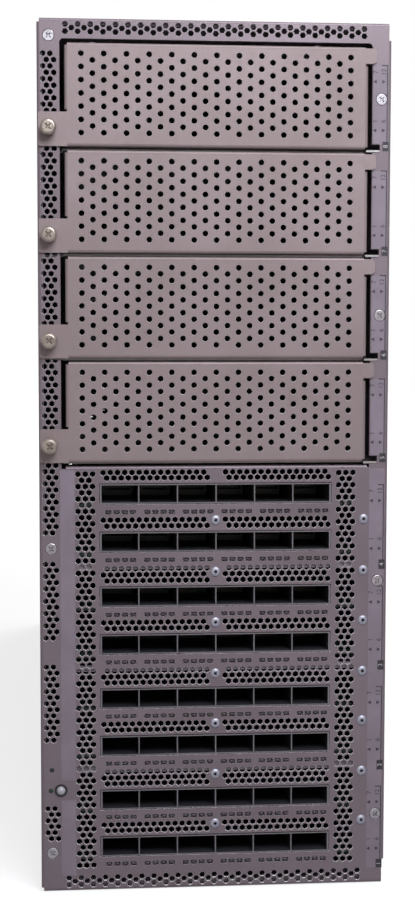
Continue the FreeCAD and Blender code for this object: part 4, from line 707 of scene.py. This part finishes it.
parts = [punched_sheet(outline, holes, BEZEL_FRONT, BEZEL_SHEET, EDGE_CHAMFER, holes_with_painted_rims),
         flange((0, 2.0), (0, HEIGHT - 2.0), (-1, 0), *fold),
         flange((WIDTH, 8.5), (WIDTH, HEIGHT - 12.4), (1, 0), *fold),
         flange((BEND, 0), (WIDTH - BEND, 0), (0, -1), *fold),
         flange((BEND, HEIGHT), (WIDTH - BEND, HEIGHT), (0, 1), *fold),
         flange((SLOT_LEFT + 2.2, SLOTS_END), (SLOT_RIGHT - 1.0, SLOTS_END), (0, -1),
                BEZEL_FRONT, BEND, 9.0, BEZEL_SHEET)]
# The rims of the vents and port windows carry the painted highlight.
make_piece("bezel", parts, BEZEL_PAINT, "chassis", ["front_bezel"], rim=RIM_PAINTED_HIGHLIGHT)

# %% [markdown]
# ## The slot covers
# Each empty slot is closed by a cover punched with round holes in staggered columns. It hooks over
# the label strip with a rounded tab, and its ear carries the thumbscrew. The four are alike and
# could share one mesh, but each rides on its own body, so each is made for its own slot.

# %% Slot covers
HOLE_STEP = (11.204, 6.43)   # columns and rows of a cover's holes
HOLE_FIELDS = ((21.75, 6.35, 13, 7), (27.35, 9.55, 12, 6))    # first hole, columns, rows
EDGE_GAP = 2.3               # between a cover's folded side and the window
EAR_LEVEL, TAB_LEVELS, TAB_REACH = 34.8, (1.7, 9.4), 4.3

for k, bay in enumerate(BAYS):
    node = "slot_cover_%d" % (k + 1)
    front = sheet_places(node)[4]
    top, bottom = SLOT_TOPS[k] - 0.2, SLOT_TOPS[k] + SLOT_PITCH - 1.9
    left, right = SLOT_LEFT + EDGE_GAP, SLOT_RIGHT - EDGE_GAP
    ear = bay + EAR_LEVEL
    tab_top, tab_end, tab_side = bay + TAB_LEVELS[0], bay + TAB_LEVELS[1], right + TAB_REACH
    edge = [(left + BEND, top + BEND, 0), (right - 1.5, top + BEND, 0),
            (right - 1.5, tab_top, 0.0), (tab_side, tab_top, 2.2), (tab_side, tab_end, 2.2),
            (right - BEND, tab_end, 0.3), (right - BEND, bottom - BEND, 0),
            (left + 1.5, bottom - BEND, 0), (left + 1.5, bottom, 0), (0.5, bottom, 1.0),
            (0.5, ear, 1.0), (left + BEND, ear, 0.4)]
    holes = [ring(a + HOLE_STEP[0] * i, bay + d + HOLE_STEP[1] * j, 1.48, 18)
             for a, d, columns, rows in HOLE_FIELDS for i in range(columns) for j in range(rows)]
    fold = (front, BEND, 7.0, BEZEL_SHEET)
    parts = [punched_sheet(rounded(edge), [ring(*THUMBS[k], 2.1, 20)], front, BEZEL_SHEET,
                           EDGE_CHAMFER, holes),
             flange((left + 1.5, top), (right - 1.5, top), (0, -1), *fold),
             flange((left + 1.5, bottom), (right - 1.5, bottom), (0, 1), *fold),
             flange((left, top + BEND), (left, ear - 1.2), (-1, 0), *fold),
             flange((right, bay + 10.6), (right, bottom - BEND), (1, 0), *fold)]
    # The rims of the cover's holes carry the painted highlight.
    make_piece("perforated_cover_%d" % (k + 1), parts, COVER_PLATE, node, [node],
               rim=RIM_PAINTED_HIGHLIGHT)
print("holes in a cover", len(holes))

# %% [markdown]
# ## Turned parts
# Screws, thumbscrews, rivets and hubs are turned on a lathe, so each is a profile spun round an
# axis. The Screw modifier would do it too, but here some points can step inwards as they go round,
# which gives a knurl.

# %% Spinning a profile
def turned_axes(axis):
    """The axis at length one, and two directions square to it."""
    axis = Vector(axis).normalized()
    side = axis.orthogonal().normalized()
    return axis, side, axis.cross(side)


def shaft_of(node):
    """Front end, length and radius (both in millimetres) of a turned CAD node along Y."""
    low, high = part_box(node)
    front = Vector(((low.x + high.x) / 2, low.y, (low.z + high.z) / 2))
    return front, (high.y - low.y) / MM, (high.x - low.x) / MM / 2


def spin(profile, centre, axis, segments=28, knurl=0.0, knurl_from=0.0):
    """Profile of (radius, depth) millimetres spun round an axis; depth runs along the axis."""
    axis, side, across = turned_axes(axis)
    points, faces = [], []
    for radius, depth in profile:
        for k in range(segments):
            turn = 2 * math.pi * k / segments
            r = radius - (knurl if k % 2 and radius > knurl_from else 0.0)
            arm = side * math.cos(turn) + across * math.sin(turn)
            points.append(centre + (arm * r + axis * depth) * MM)
    for row in range(len(profile) - 1):
        here, there = row * segments, (row + 1) * segments
        for k in range(segments):
            n = (k + 1) % segments
            faces.append((here + k, here + n, there + n, there + k))
    last = (len(profile) - 1) * segments
    faces.append(tuple(last + k for k in range(segments)))
    return points, faces


print("faces of a turned pin", len(spin([(1, 0), (1, 8)], Vector((0, 0, 0)), (0, 1, 0))[1]))

# %% [markdown]
# ## Cross recesses
# The recess in a screw is pressed by a punch that tapers, so its walls lean inwards and its floor
# is smaller than its mouth. It could be cut with a boolean, but a cross-shaped hole in the end face
# is filled the same way as the punched sheet, and then gets those walls and that floor.

# %% End face with a cross recess
ARM_TAPER, FLOOR_SHARE = 0.7, 0.6    # narrowing of an arm at its tip, and of the floor


def cross_face(centre, axis, radius, arm, width, depth, segments=28):
    """End face with a cross recess: a flat ring, the recess walls and its floor."""
    axis, side, across = turned_axes(axis)
    half = width / 2
    cross = []
    for turn in range(4):
        c, s = math.cos(turn * math.pi / 2), math.sin(turn * math.pi / 2)
        for u, v in ((arm, -half * ARM_TAPER), (arm, half * ARM_TAPER), (half, half)):
            cross.append((u * c - v * s, u * s + v * c))
    cross = oriented(cross)
    size = len(cross)
    flat = [Vector(p) for p in ring(0, 0, radius, segments) + cross]
    edges = [(k, (k + 1) % segments) for k in range(segments)]
    edges += [(segments + k, segments + (k + 1) % size) for k in range(size)]
    _, _, triangles, origin, _, _ = delaunay_2d_cdt(flat, edges, [], 1, 1e-6)
    faces = []
    for triangle in triangles:
        corners = [origin[v][0] for v in triangle]
        middle = sum((flat[v] for v in corners), Vector((0, 0))) / 3
        if min(corners) < segments or not inside(middle, cross):
            faces.append(tuple(corners))
    points = [centre + (side * p.x + across * p.y) * MM for p in flat]
    floor = len(points)
    points += [centre + ((side * x + across * y) * FLOOR_SHARE + axis * depth) * MM
               for x, y in cross]
    for k in range(size):
        n = (k + 1) % size
        faces.append((segments + k, segments + n, floor + n, floor + k))
    faces.append(tuple(floor + k for k in range(size)))
    return points, faces


sample = cross_face(Vector((0, 0, 0)), (0, 1, 0), 2.55, 1.55, 0.75, 0.9)
print("faces of an end face with a cross recess", len(sample[1]))

# %% [markdown]
# ## Countersunk screws
# Seven screws hold the bezel and more hold the narrow sides. Their heads lie flush in a cone-shaped
# sink, so only a bright disc with a cross shows. A disc alone would do from the front, but the
# cone gives the fine dark line round it, and the shank keeps the inside honest.

# %% Countersunk screws
HEAD_PROFILE = [(2.55, 0.0), (2.8, 0.12), (2.85, 0.3), (1.5, 1.5), (1.5, 8.0)]
SIDE_SCREW_IN = 7.0


def screw_head(centre, axis):
    """Countersunk head with a cross recess, its axis pointing into the sheet."""
    return [spin(HEAD_PROFILE, centre, axis), cross_face(centre, axis, 2.55, 1.55, 0.75, 0.9)]


parts = []
for a, d in SCREWS:
    parts += screw_head(at(a, d, BEZEL_FRONT), (0, 1, 0))
for y in (BEZEL_FRONT + 44.3 * MM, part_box("midplane")[0].y + 67.0 * MM, REAR - 116.0 * MM):
    parts += screw_head(Vector((COVER_SIDE + SIDE_SCREW_IN * MM, y, 0)), (0, 0, 1))
    parts += screw_head(Vector((COVER_SIDE + SIDE_SCREW_IN * MM, y, UPPER_SIDE)), (0, 0, -1))
make_piece("countersunk_screws", parts, ZINC_SCREW, "chassis", ["flush_screws"])

# %% [markdown]
# ## Thumbscrews
# A thumbscrew is turned from bar: a knurled head that fingers can grip, a crowned front with a
# cross recess, and a narrow neck. The knurl could be bump, but its teeth show in the outline, so
# it is geometry: a straight one, a tooth every 15 degrees.

# %% Thumbscrews
for k in range(4):
    node = "cover_thumbscrew_%d" % (k + 1)
    centre, length, _ = shaft_of(node)
    seat = (sheet_places("slot_cover_%d" % (k + 1))[4] - centre.y) / MM - 0.1
    profile = [(2.75, 0.0), (3.15, 0.12), (3.95, 0.75), (4.1, 1.1), (4.1, seat - 1.5),
               (3.85, seat - 1.1), (3.2, seat - 1.0), (3.2, seat), (1.95, seat),
               (1.95, length - 1.0), (1.2, length)]
    parts = [spin(profile, centre, (0, 1, 0), 48, knurl=0.22, knurl_from=3.9),
             cross_face(centre, (0, 1, 0), 2.75, 1.9, 0.8, 1.4, 48)]
    make_piece("knurled_thumbscrew_%d" % (k + 1), parts, THUMB_METAL, node, [node],
               25.0)
print("thumbscrew length %.1f mm, of which %.1f stand out" % (length, seat))

# %% [markdown]
# ## Blind rivets
# Blind rivets leave a low domed head with a hole in its middle, where the mandrel broke off. A
# flattened ball would lack that hole. The dome is pale because its aluminium isn't painted, and
# the hole is deep, so it reads as a dark dot.

# %% Rivets
RIVET_PROFILE = [(0.7, 2.2), (0.7, 0.35), (0.85, 0.05), (1.3, 0.0), (1.9, 0.22), (2.4, 0.55),
                 (2.6, 0.86), (1.6, 0.9), (1.6, 4.4)]
rivet_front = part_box("faceplate_rivets")[0].y
parts = [spin(RIVET_PROFILE, at(a, d, rivet_front), (0, 1, 0), 24) for a, d in RIVETS]
make_piece("blind_rivets", parts, RIVET_METAL, "chassis", ["faceplate_rivets"])

# %% [markdown]
# ## The port cages
# Each row of six ports is one ganged cage of thin sheet, open in front. Its walls are only 0.6 mm
# thick, so from the front they are fine lines: a light cut edge before an inside painted dark as
# shade. A Solidify modifier would round them all alike, so each wall is a slab of its own.

# %% Port cages
CAGE_WALL = 0.6
END_WALL = 0.9               # both ends of a cage are two layers of sheet


def slab(a0, d0, a1, d1, front, depth):
    """Box from its front face back; the front face is listed last, as the bare one."""
    corners = ((a0, d0), (a1, d0), (a1, d1), (a0, d1))
    points = [at(*corner, front + back * MM) for back in (0, depth) for corner in corners]
    faces = [(4, 5, 6, 7)] + [(n, n + 4, (n + 1) % 4 + 4, (n + 1) % 4) for n in range(4)]
    return points, faces + [(0, 3, 2, 1)], 5


for k in range(8):
    node = "port_cage_%d" % (k + 1)
    a0, d0, a1, d1, y = sheet_places(node)
    depth = (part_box(node)[1].y - y) / MM
    upper, lower = d0 + CAGE_WALL, d1 - CAGE_WALL
    parts = [slab(a0, d0, a1, upper, y, depth), slab(a0, lower, a1, d1, y, depth),
             slab(a0, upper, a0 + END_WALL, lower, y, depth),
             slab(a1 - END_WALL, upper, a1, lower, y, depth)]
    for n in range(-2, 3):
        middle = (a0 + a1) / 2 + n * PORT_PITCH
        parts.append(slab(middle - CAGE_WALL / 2, upper, middle + CAGE_WALL / 2, lower,
                          y + 0.1 * MM, depth - 0.2))
    parts.append(slab(a0 + END_WALL, upper, a1 - END_WALL, lower,
                      y + (depth - CAGE_WALL) * MM, CAGE_WALL))
    # The insides are painted shade; the front faces get the light cut edge.
    make_piece("ganged_cage_%d" % (k + 1), parts, CAGE_PAINTED_SHADE, "chassis", [node],
               rim=CAGE_EDGE)

# %% [markdown]
# ## Fan blades
# The fans at the back have broad, twisted blades that overlap when seen along the shaft, so hardly
# any light passes straight through. They could be flat plates set at an angle, but then the gaps
# between them would show. A blade is one curved sheet: each of its sections is turned about the
# shaft as it goes back, with a little camber, and it thins towards both edges.

# %% One blade
BLADES = 7
BLADE_SPREAD = math.radians(56.0)    # angle that one blade covers, seen along the shaft
BLADE_LEAN = math.radians(14.0)      # its tip is ahead of its root
BLADE_CAMBER = 3.0
BLADE_THICK = 1.8


def blade(centre, start, radii, front, back, steps=10):
    """Twisted blade between two depths, with a section at each radius, in millimetres."""
    points, faces = [], []
    for side in (-1, 1):
        for i, radius in enumerate(radii):
            for j in range(steps + 1):
                t = j / steps
                bow = math.sin(math.pi * t)
                turn = start + BLADE_LEAN * i / (len(radii) - 1) + BLADE_SPREAD * t
                half = BLADE_THICK * (0.25 + 0.75 * bow) / 2
                depth = front + (back - front) * t + BLADE_CAMBER * bow + side * half
                points.append(centre + Vector((radius * math.cos(turn), depth,
                                               radius * math.sin(turn))) * MM)
    row, layer = steps + 1, len(radii) * (steps + 1)
    for i in range(len(radii) - 1):
        for j in range(steps):
            k = i * row + j
            faces.append((k, k + 1, k + row + 1, k + row))
            faces.append(tuple(v + layer for v in (k, k + row, k + row + 1, k + 1)))
    rim = list(range(steps)) + [i * row + steps for i in range(len(radii) - 1)]
    rim += [layer - 1 - v for v in rim]      # the other half of the outline mirrors the first
    for k, one in enumerate(rim):
        two = rim[(k + 1) % len(rim)]
        faces.append((one, two, two + layer, one + layer))
    return points, faces


print("each of %d blades covers %.0f degrees, of the %.0f there are for it"
      % (BLADES, math.degrees(BLADE_SPREAD), 360 / BLADES))

# %% [markdown]
# A rotor is moulded in one: the hub is a cup that hides the motor, rounded towards the air that
# comes in, and the blades grow out of it. The hub could be the CAD one, but the blades start from
# its surface, so both are made here from the same radius.

# %% Rotors
HUB_RADIUS = 19.0
BLADE_ROOT = 18.6            # a little inside the hub
for k in range(4):
    node = "fan_rotor_%d" % (k + 1)
    centre, length, reach = shaft_of(node)
    hub = [(0.4, 0.0), (10.0, 0.1), (14.0, 0.6), (17.0, 1.0), (18.6, 2.6), (HUB_RADIUS, 5.0),
           (HUB_RADIUS, length - 0.5), (18.0, length), (3.3, length), (3.3, 1.0)]
    radii = [BLADE_ROOT + (reach - BLADE_ROOT) * n / 6 for n in range(7)]
    parts = [spin(hub, centre, (0, 1, 0), 40)]
    parts += [blade(centre, 2 * math.pi * n / BLADES, radii, 3.5, length - 5.0)
              for n in range(BLADES)]
    make_piece("fan_blades_%d" % (k + 1), parts, BLACK_ABS, node, [node])
print("rotors reach %.1f mm from the shaft" % reach)

# %% [markdown]
# ## Lenses of the port lamps
# Behind each small window a lens painted dark as shade closes the light pipe, a little smaller than
# the window and a little behind the sheet's face, so that a thin dark line frames it. A dark patch
# on the sheet would look the same from the front, but not from the side.

# %% Lamp lenses
LENS_INSET = (0.5, 0.42)     # from the window's edge, at each side and above and below


def lens(a, d, half_a, half_d, front, depth):
    """Flat lens with bevelled edges, its face at front and running back by depth."""
    points, faces = [], []
    for inset, back in ((0.25, 0.0), (0.0, 0.2), (0.0, depth)):
        points += [at(a + i * (half_a - inset), d + j * (half_d - inset), front + back * MM)
                   for i, j in ((-1, -1), (1, -1), (1, 1), (-1, 1))]
    for start in (0, 4):
        faces += [(start + n, start + (n + 1) % 4, start + 4 + (n + 1) % 4, start + 4 + n)
                  for n in range(4)]
    return points, faces + [(0, 1, 2, 3), (11, 10, 9, 8)]


parts = [lens(a, d, LAMP_HALF[0] - LENS_INSET[0], LAMP_HALF[1] - LENS_INSET[1],
              BEZEL_FRONT + 0.35 * MM, 1.2) for a, d in PORT_LAMPS]
make_piece("port_lamp_lenses", parts, LENS_PAINTED_SHADE, "chassis")

# %% [markdown]
# ## Label film
# Two long labels of matt polyester film lie on the bezel, one down each side, a little more violet
# and duller than the paint round them. They could be a second colour in the paint, but the film
# has a real edge that catches the light. Holes in it leave the screws free, and on the cover side
# it stops above and below the button.

# %% Label film
FILM = 0.12
RIGHT_FILM, LEFT_FILM = (167.9, 175.6), (10.3, 17.7)
FILM_END = 431.5
FILM_START = SLOTS_END + 1.8


def film(a0, d0, a1, d1, radius):
    """Thin film on the bezel between two corners, cut out round the screws that it covers."""
    gaps = [ring(a, d, 3.15, 28) for a, d in SCREWS if a0 < a < a1 and d0 < d < d1]
    return punched_sheet(rectangle(a0, d0, a1, d1, radius), gaps, BEZEL_FRONT - FILM * MM,
                         FILM - 0.01, 0.04)


parts = [film(RIGHT_FILM[0], bay + 9.9, RIGHT_FILM[1], divider - 3.6, 0.3)
         for bay, divider in zip(BAYS, DIVIDERS)]
parts += [film(RIGHT_FILM[0] - 0.4, FILM_START, RIGHT_FILM[1], FILM_END, 0.4),
          film(LEFT_FILM[0], 392.1, LEFT_FILM[1], FILM_END, 0.5),
          film(LEFT_FILM[0], FILM_START, LEFT_FILM[1], 382.0, 0.5)]
make_piece("label_film", parts, LABEL_FILM, "chassis")

# %% [markdown]
# ## Print on the label film
# A screen-printed strip tells which port is which: a bracket for each bay, plain numbers, small
# arrows and a dark square with the bay's number. Print could be an image on the film, but flat
# geometry stays sharp at any distance. The numbers read from the bottom to the top, as they would
# on a switch that lies flat, and the digits come from Blender's own font.

# %% Marks of the print
INK_LIFT = 0.15              # ink stands just in front of the label film
LINE = 0.5                   # width of a printed line


def bar(a0, d0, a1, d1):
    """Flat rectangle of ink."""
    y = BEZEL_FRONT - INK_LIFT * MM
    return [at(a0, d0, y), at(a1, d0, y), at(a1, d1, y), at(a0, d1, y)], [(0, 3, 2, 1)]


def arrow(a, d, way):
    """Small triangle; way is -1 towards the cover side, 1 towards the floor."""
    y = BEZEL_FRONT - INK_LIFT * MM
    return [at(a - 0.9 * way, d - 0.95, y), at(a - 0.9 * way, d + 0.95, y),
            at(a + 0.9 * way, d, y)], [(0, 1, 2)]


def number(value, a, d, size, lift=INK_LIFT):
    """Digits centred on a place, turned to read upwards."""
    curve = bpy.data.curves.new("digits", "FONT")
    curve.body = str(value)
    curve.size = size * MM
    curve.align_x = "CENTER"
    curve.align_y = "CENTER"
    curve.resolution_u = 3
    holder = bpy.data.objects.new("digits", curve)
    mesh = bpy.data.meshes.new_from_object(holder)
    turn = Matrix(((0, -1, 0), (0, 0, -1), (1, 0, 0))).to_4x4()
    mesh.transform(Matrix.Translation(at(a, d, BEZEL_FRONT - lift * MM)) @ turn)
    points = [v.co.copy() for v in mesh.vertices]
    faces = [tuple(p.vertices) for p in mesh.polygons]
    bpy.data.objects.remove(holder)
    bpy.data.meshes.remove(mesh)
    bpy.data.curves.remove(curve)
    return points, faces


print("faces of a printed 12", len(number(12, 173.2, 20, 3.3)[1]))

# %% [markdown]
# Slots and port bays carry the same marks at slightly different levels. Each could be listed mark
# by mark, but one function with a row of levels keeps all eight bays alike.

# %% Printed bays
SLOT_LEVELS = (9.6, 13.1, 17.9, 37.4, 42.0, 47.6)
PORT_LEVELS = (11.2, 14.6, 19.6, 39.2, 44.2, 50.0)
LEFT_MARKS, RIGHT_MARKS, BRACKET = 168.6, 173.2, (172.0, 175.2)
DIGITS, BAY_DIGITS = 3.3, 3.2        # heights of the digits


def bay_marks(bay, levels, square):
    """Bracket, numbers, arrows and square of a bay, each at a level below the bay's start."""
    bracket, upper, upper_arrows, lower, lower_arrows, end = (bay + level for level in levels)
    a0, a1 = BRACKET
    marks = [bar(a0, bracket, a1, bracket + LINE), bar(a1 - LINE, bracket, a1, end)]
    for level, arrows, left, right in ((upper, upper_arrows, 7, 12), (lower, lower_arrows, 1, 6)):
        marks += [number(left, LEFT_MARKS + 0.3, level, DIGITS),
                  number(right, RIGHT_MARKS, level, DIGITS),
                  arrow(LEFT_MARKS, arrows, -1), arrow(RIGHT_MARKS, arrows, 1)]
    return marks + [bar(a0 + 0.7, bay + square[0], a1 + 0.7, bay + square[1])]


dark, pale = [], []
for k in range(4):
    dark += bay_marks(BAYS[k], SLOT_LEVELS, (47.6, 52.2))
    pale.append(number(8 - k, 174.3, BAYS[k] + 49.9, BAY_DIGITS, INK_LIFT + 0.03))
for k in range(4):
    dark += bay_marks(PORT_BAYS[k], PORT_LEVELS, (49.9, 54.9 if k < 3 else 54.4))
    pale.append(number(4 - k, 174.3, PORT_BAYS[k] + 52.4, BAY_DIGITS, INK_LIFT + 0.03))
make_piece("label_print", dark, PRINT_INK, "chassis")
make_piece("label_numbers", pale, PALE_INK, "chassis")
print("printed marks", len(dark) + len(pale))

# %% [markdown]
# ## Floor
# The switch stands on a pale studio floor in front of a white background. A very large bright sheet
# would do both, but it would wash out the shadow that ties the object to the ground. So the floor
# is lit and keeps the shadow, and what the eye sees of it grows whiter away from the object, until
# it meets the white of the background without a line. Metal mirrors only a share of that white.

# %% Floor
def background_rays(tree, mirrored):
    """How much of the white background a ray finds: all of it if seen, a share if mirrored."""
    ray = add(tree, "LightPath").outputs
    bounced = add(tree, "Math", {0: ray["Is Glossy Ray"], 1: ray["Is Transmission Ray"]},
                  operation="MAXIMUM").outputs[0]
    share = add(tree, "Math", {0: bounced, 1: mirrored}, operation="MULTIPLY").outputs[0]
    return add(tree, "Math", {0: ray["Is Camera Ray"], 1: share}, operation="MAXIMUM").outputs[0]


def floor_material(name, near=0.7, far=2.0, near_glow=0.74):
    """Pale matt floor that keeps the object's shadow and glows white further out, in metres."""
    material, tree, place = start_material(name)
    clouds = add(tree, "TexNoise", {"Vector": place, "Scale": grains(200), "Detail": 2}).outputs[0]
    cloudy = add(tree, "MapRange", {0: clouds, 1: 0.3, 2: 0.7}).outputs[0]
    tone = add(tree, "Mix", {0: cloudy, 6: "A4A4A6", 7: "9E9EA1"}, data_type="RGBA").outputs[2]
    shader = add(tree, "BsdfPrincipled", {"Base Color": tone, "Roughness": 0.8})
    away = add(tree, "VectorMath", {0: place}, operation="LENGTH").outputs["Value"]
    level = add(tree, "MapRange", {0: away, 1: near, 2: far, 3: near_glow}).outputs[0]
    glow = add(tree, "Emission", {"Color": "FFFFFF", "Strength": level}).outputs[0]
    shown = add(tree, "MixShader", {0: background_rays(tree, 0.3), 2: glow}).outputs[0]
    both = add(tree, "AddShader", {0: shader.outputs[0], 1: shown}).outputs[0]
    add(tree, "OutputMaterial", {"Surface": both})
    return material


work = bmesh.new()
bmesh.ops.create_grid(work, x_segments=8, y_segments=8, size=6.0)
mesh = bpy.data.meshes.new("studio_floor")
work.to_mesh(mesh)
work.free()
# A matt, pale coat of paint: the eye gets a soft grey shadow and nothing else.
mesh.materials.append(floor_material("pale_studio_floor"))
floor = bpy.data.objects.new("studio_floor", mesh)
floor.location = (0, 0, -0.0003)
bpy.context.scene.collection.objects.link(floor)
print("floor", [round(side, 1) for side in floor.dimensions], "m")

# %% [markdown]
# ## Lamps and world
# A wide lamp above and in front is the window: it lights the upper slots most and fades towards the
# ports below, which is how a tall object looks beside a bright window. One lamp alone leaves the
# vents too hard, so a weak fill, a faint warm lamp low down, as wood near by would reflect, and
# the world keep the shadows open. Another lamp lights the back for the views from there.

# %% Lamps and world
STUDIO_LAMPS = {             # place, aim, size in metres, power in watts, colour
    "window": ((0.15, BEZEL_FRONT - 0.55, 0.80), (0, BEZEL_FRONT, 0.3), 0.5, 7.8, "F6FBFF"),
    "fill": ((-0.9, BEZEL_FRONT - 1.2, 0.5), (0, BEZEL_FRONT, 0.2), 1.2, 1.5, "FFF6F0"),
    "wood_bounce": ((0.27, BEZEL_FRONT - 1.2, 0.06), (0.05, BEZEL_FRONT, 0.2), 0.3, 0.35,
                    "FFD0A8"),
    "back_fill": ((0.8, REAR + 1.0, 1.1), (0, REAR, 0.2), 1.0, 14.0, "FFFFFF"),
}
for name, (place, aim, size, power, colour) in STUDIO_LAMPS.items():
    light = bpy.data.lights.new(name, "AREA")
    light.size = size
    light.energy = power
    light.color = hex_colour(colour)[:3]
    holder = bpy.data.objects.new(name, light)
    holder.location = place
    direction = Vector(aim) - Vector(place)
    holder.rotation_euler = direction.to_track_quat("-Z", "Y").to_euler()
    bpy.context.scene.collection.objects.link(holder)

world = bpy.data.worlds.new("studio")
bpy.context.scene.world = world
world.use_nodes = True
tree = world.node_tree
tree.nodes.clear()
room = add(tree, "Background", {"Color": "FDF7FC", "Strength": 0.2}).outputs[0]
white = add(tree, "Background", {"Color": "FFFFFF", "Strength": 1.0}).outputs[0]
way = add(tree, "TexCoord").outputs["Generated"]
backwards = add(tree, "SeparateXYZ", {0: way}).outputs["Y"]
mirrored = add(tree, "MapRange", {0: backwards, 1: -0.1, 2: 0.5, 3: 0.3}).outputs[0]
sky = add(tree, "MixShader", {0: background_rays(tree, mirrored), 1: room, 2: white}).outputs[0]
add(tree, "OutputWorld", {"Surface": sky})
print("lamps", len(STUDIO_LAMPS))

# %% [markdown]
# ## Camera
# The camera stands 0.8 m in front of the bezel, above the middle of the switch and towards its
# cover side, and looks a few degrees down and to the right. It could be aimed by a constraint, but
# three small turns from the straight view can each be matched by itself.

# %% Camera
camera = bpy.data.cameras.new("camera")
camera.sensor_fit = "VERTICAL"
camera.sensor_height = 36.0
camera.lens = 64.0
EYE = (-0.0732, BEZEL_FRONT - 0.8029, 0.2869)
TURNS = ((-4.94, "Z"), (-4.32, "X"), (-0.09, "Y"))       # right, down and a trace of tilt
STRAIGHT = Matrix(((1, 0, 0), (0, 0, -1), (0, 1, 0)))    # along +Y with +Z upwards
look = Matrix.Identity(3)
for degrees, axis in TURNS:
    look = look @ Matrix.Rotation(math.radians(degrees), 3, axis)
eye = bpy.data.objects.new("camera", camera)
eye.matrix_world = Matrix.Translation(EYE) @ (look @ STRAIGHT).to_4x4()
scene = bpy.context.scene
scene.collection.objects.link(eye)
scene.camera = eye
scene.view_settings.view_transform = "Standard"
print("camera", [round(v, 3) for v in eye.matrix_world.translation])
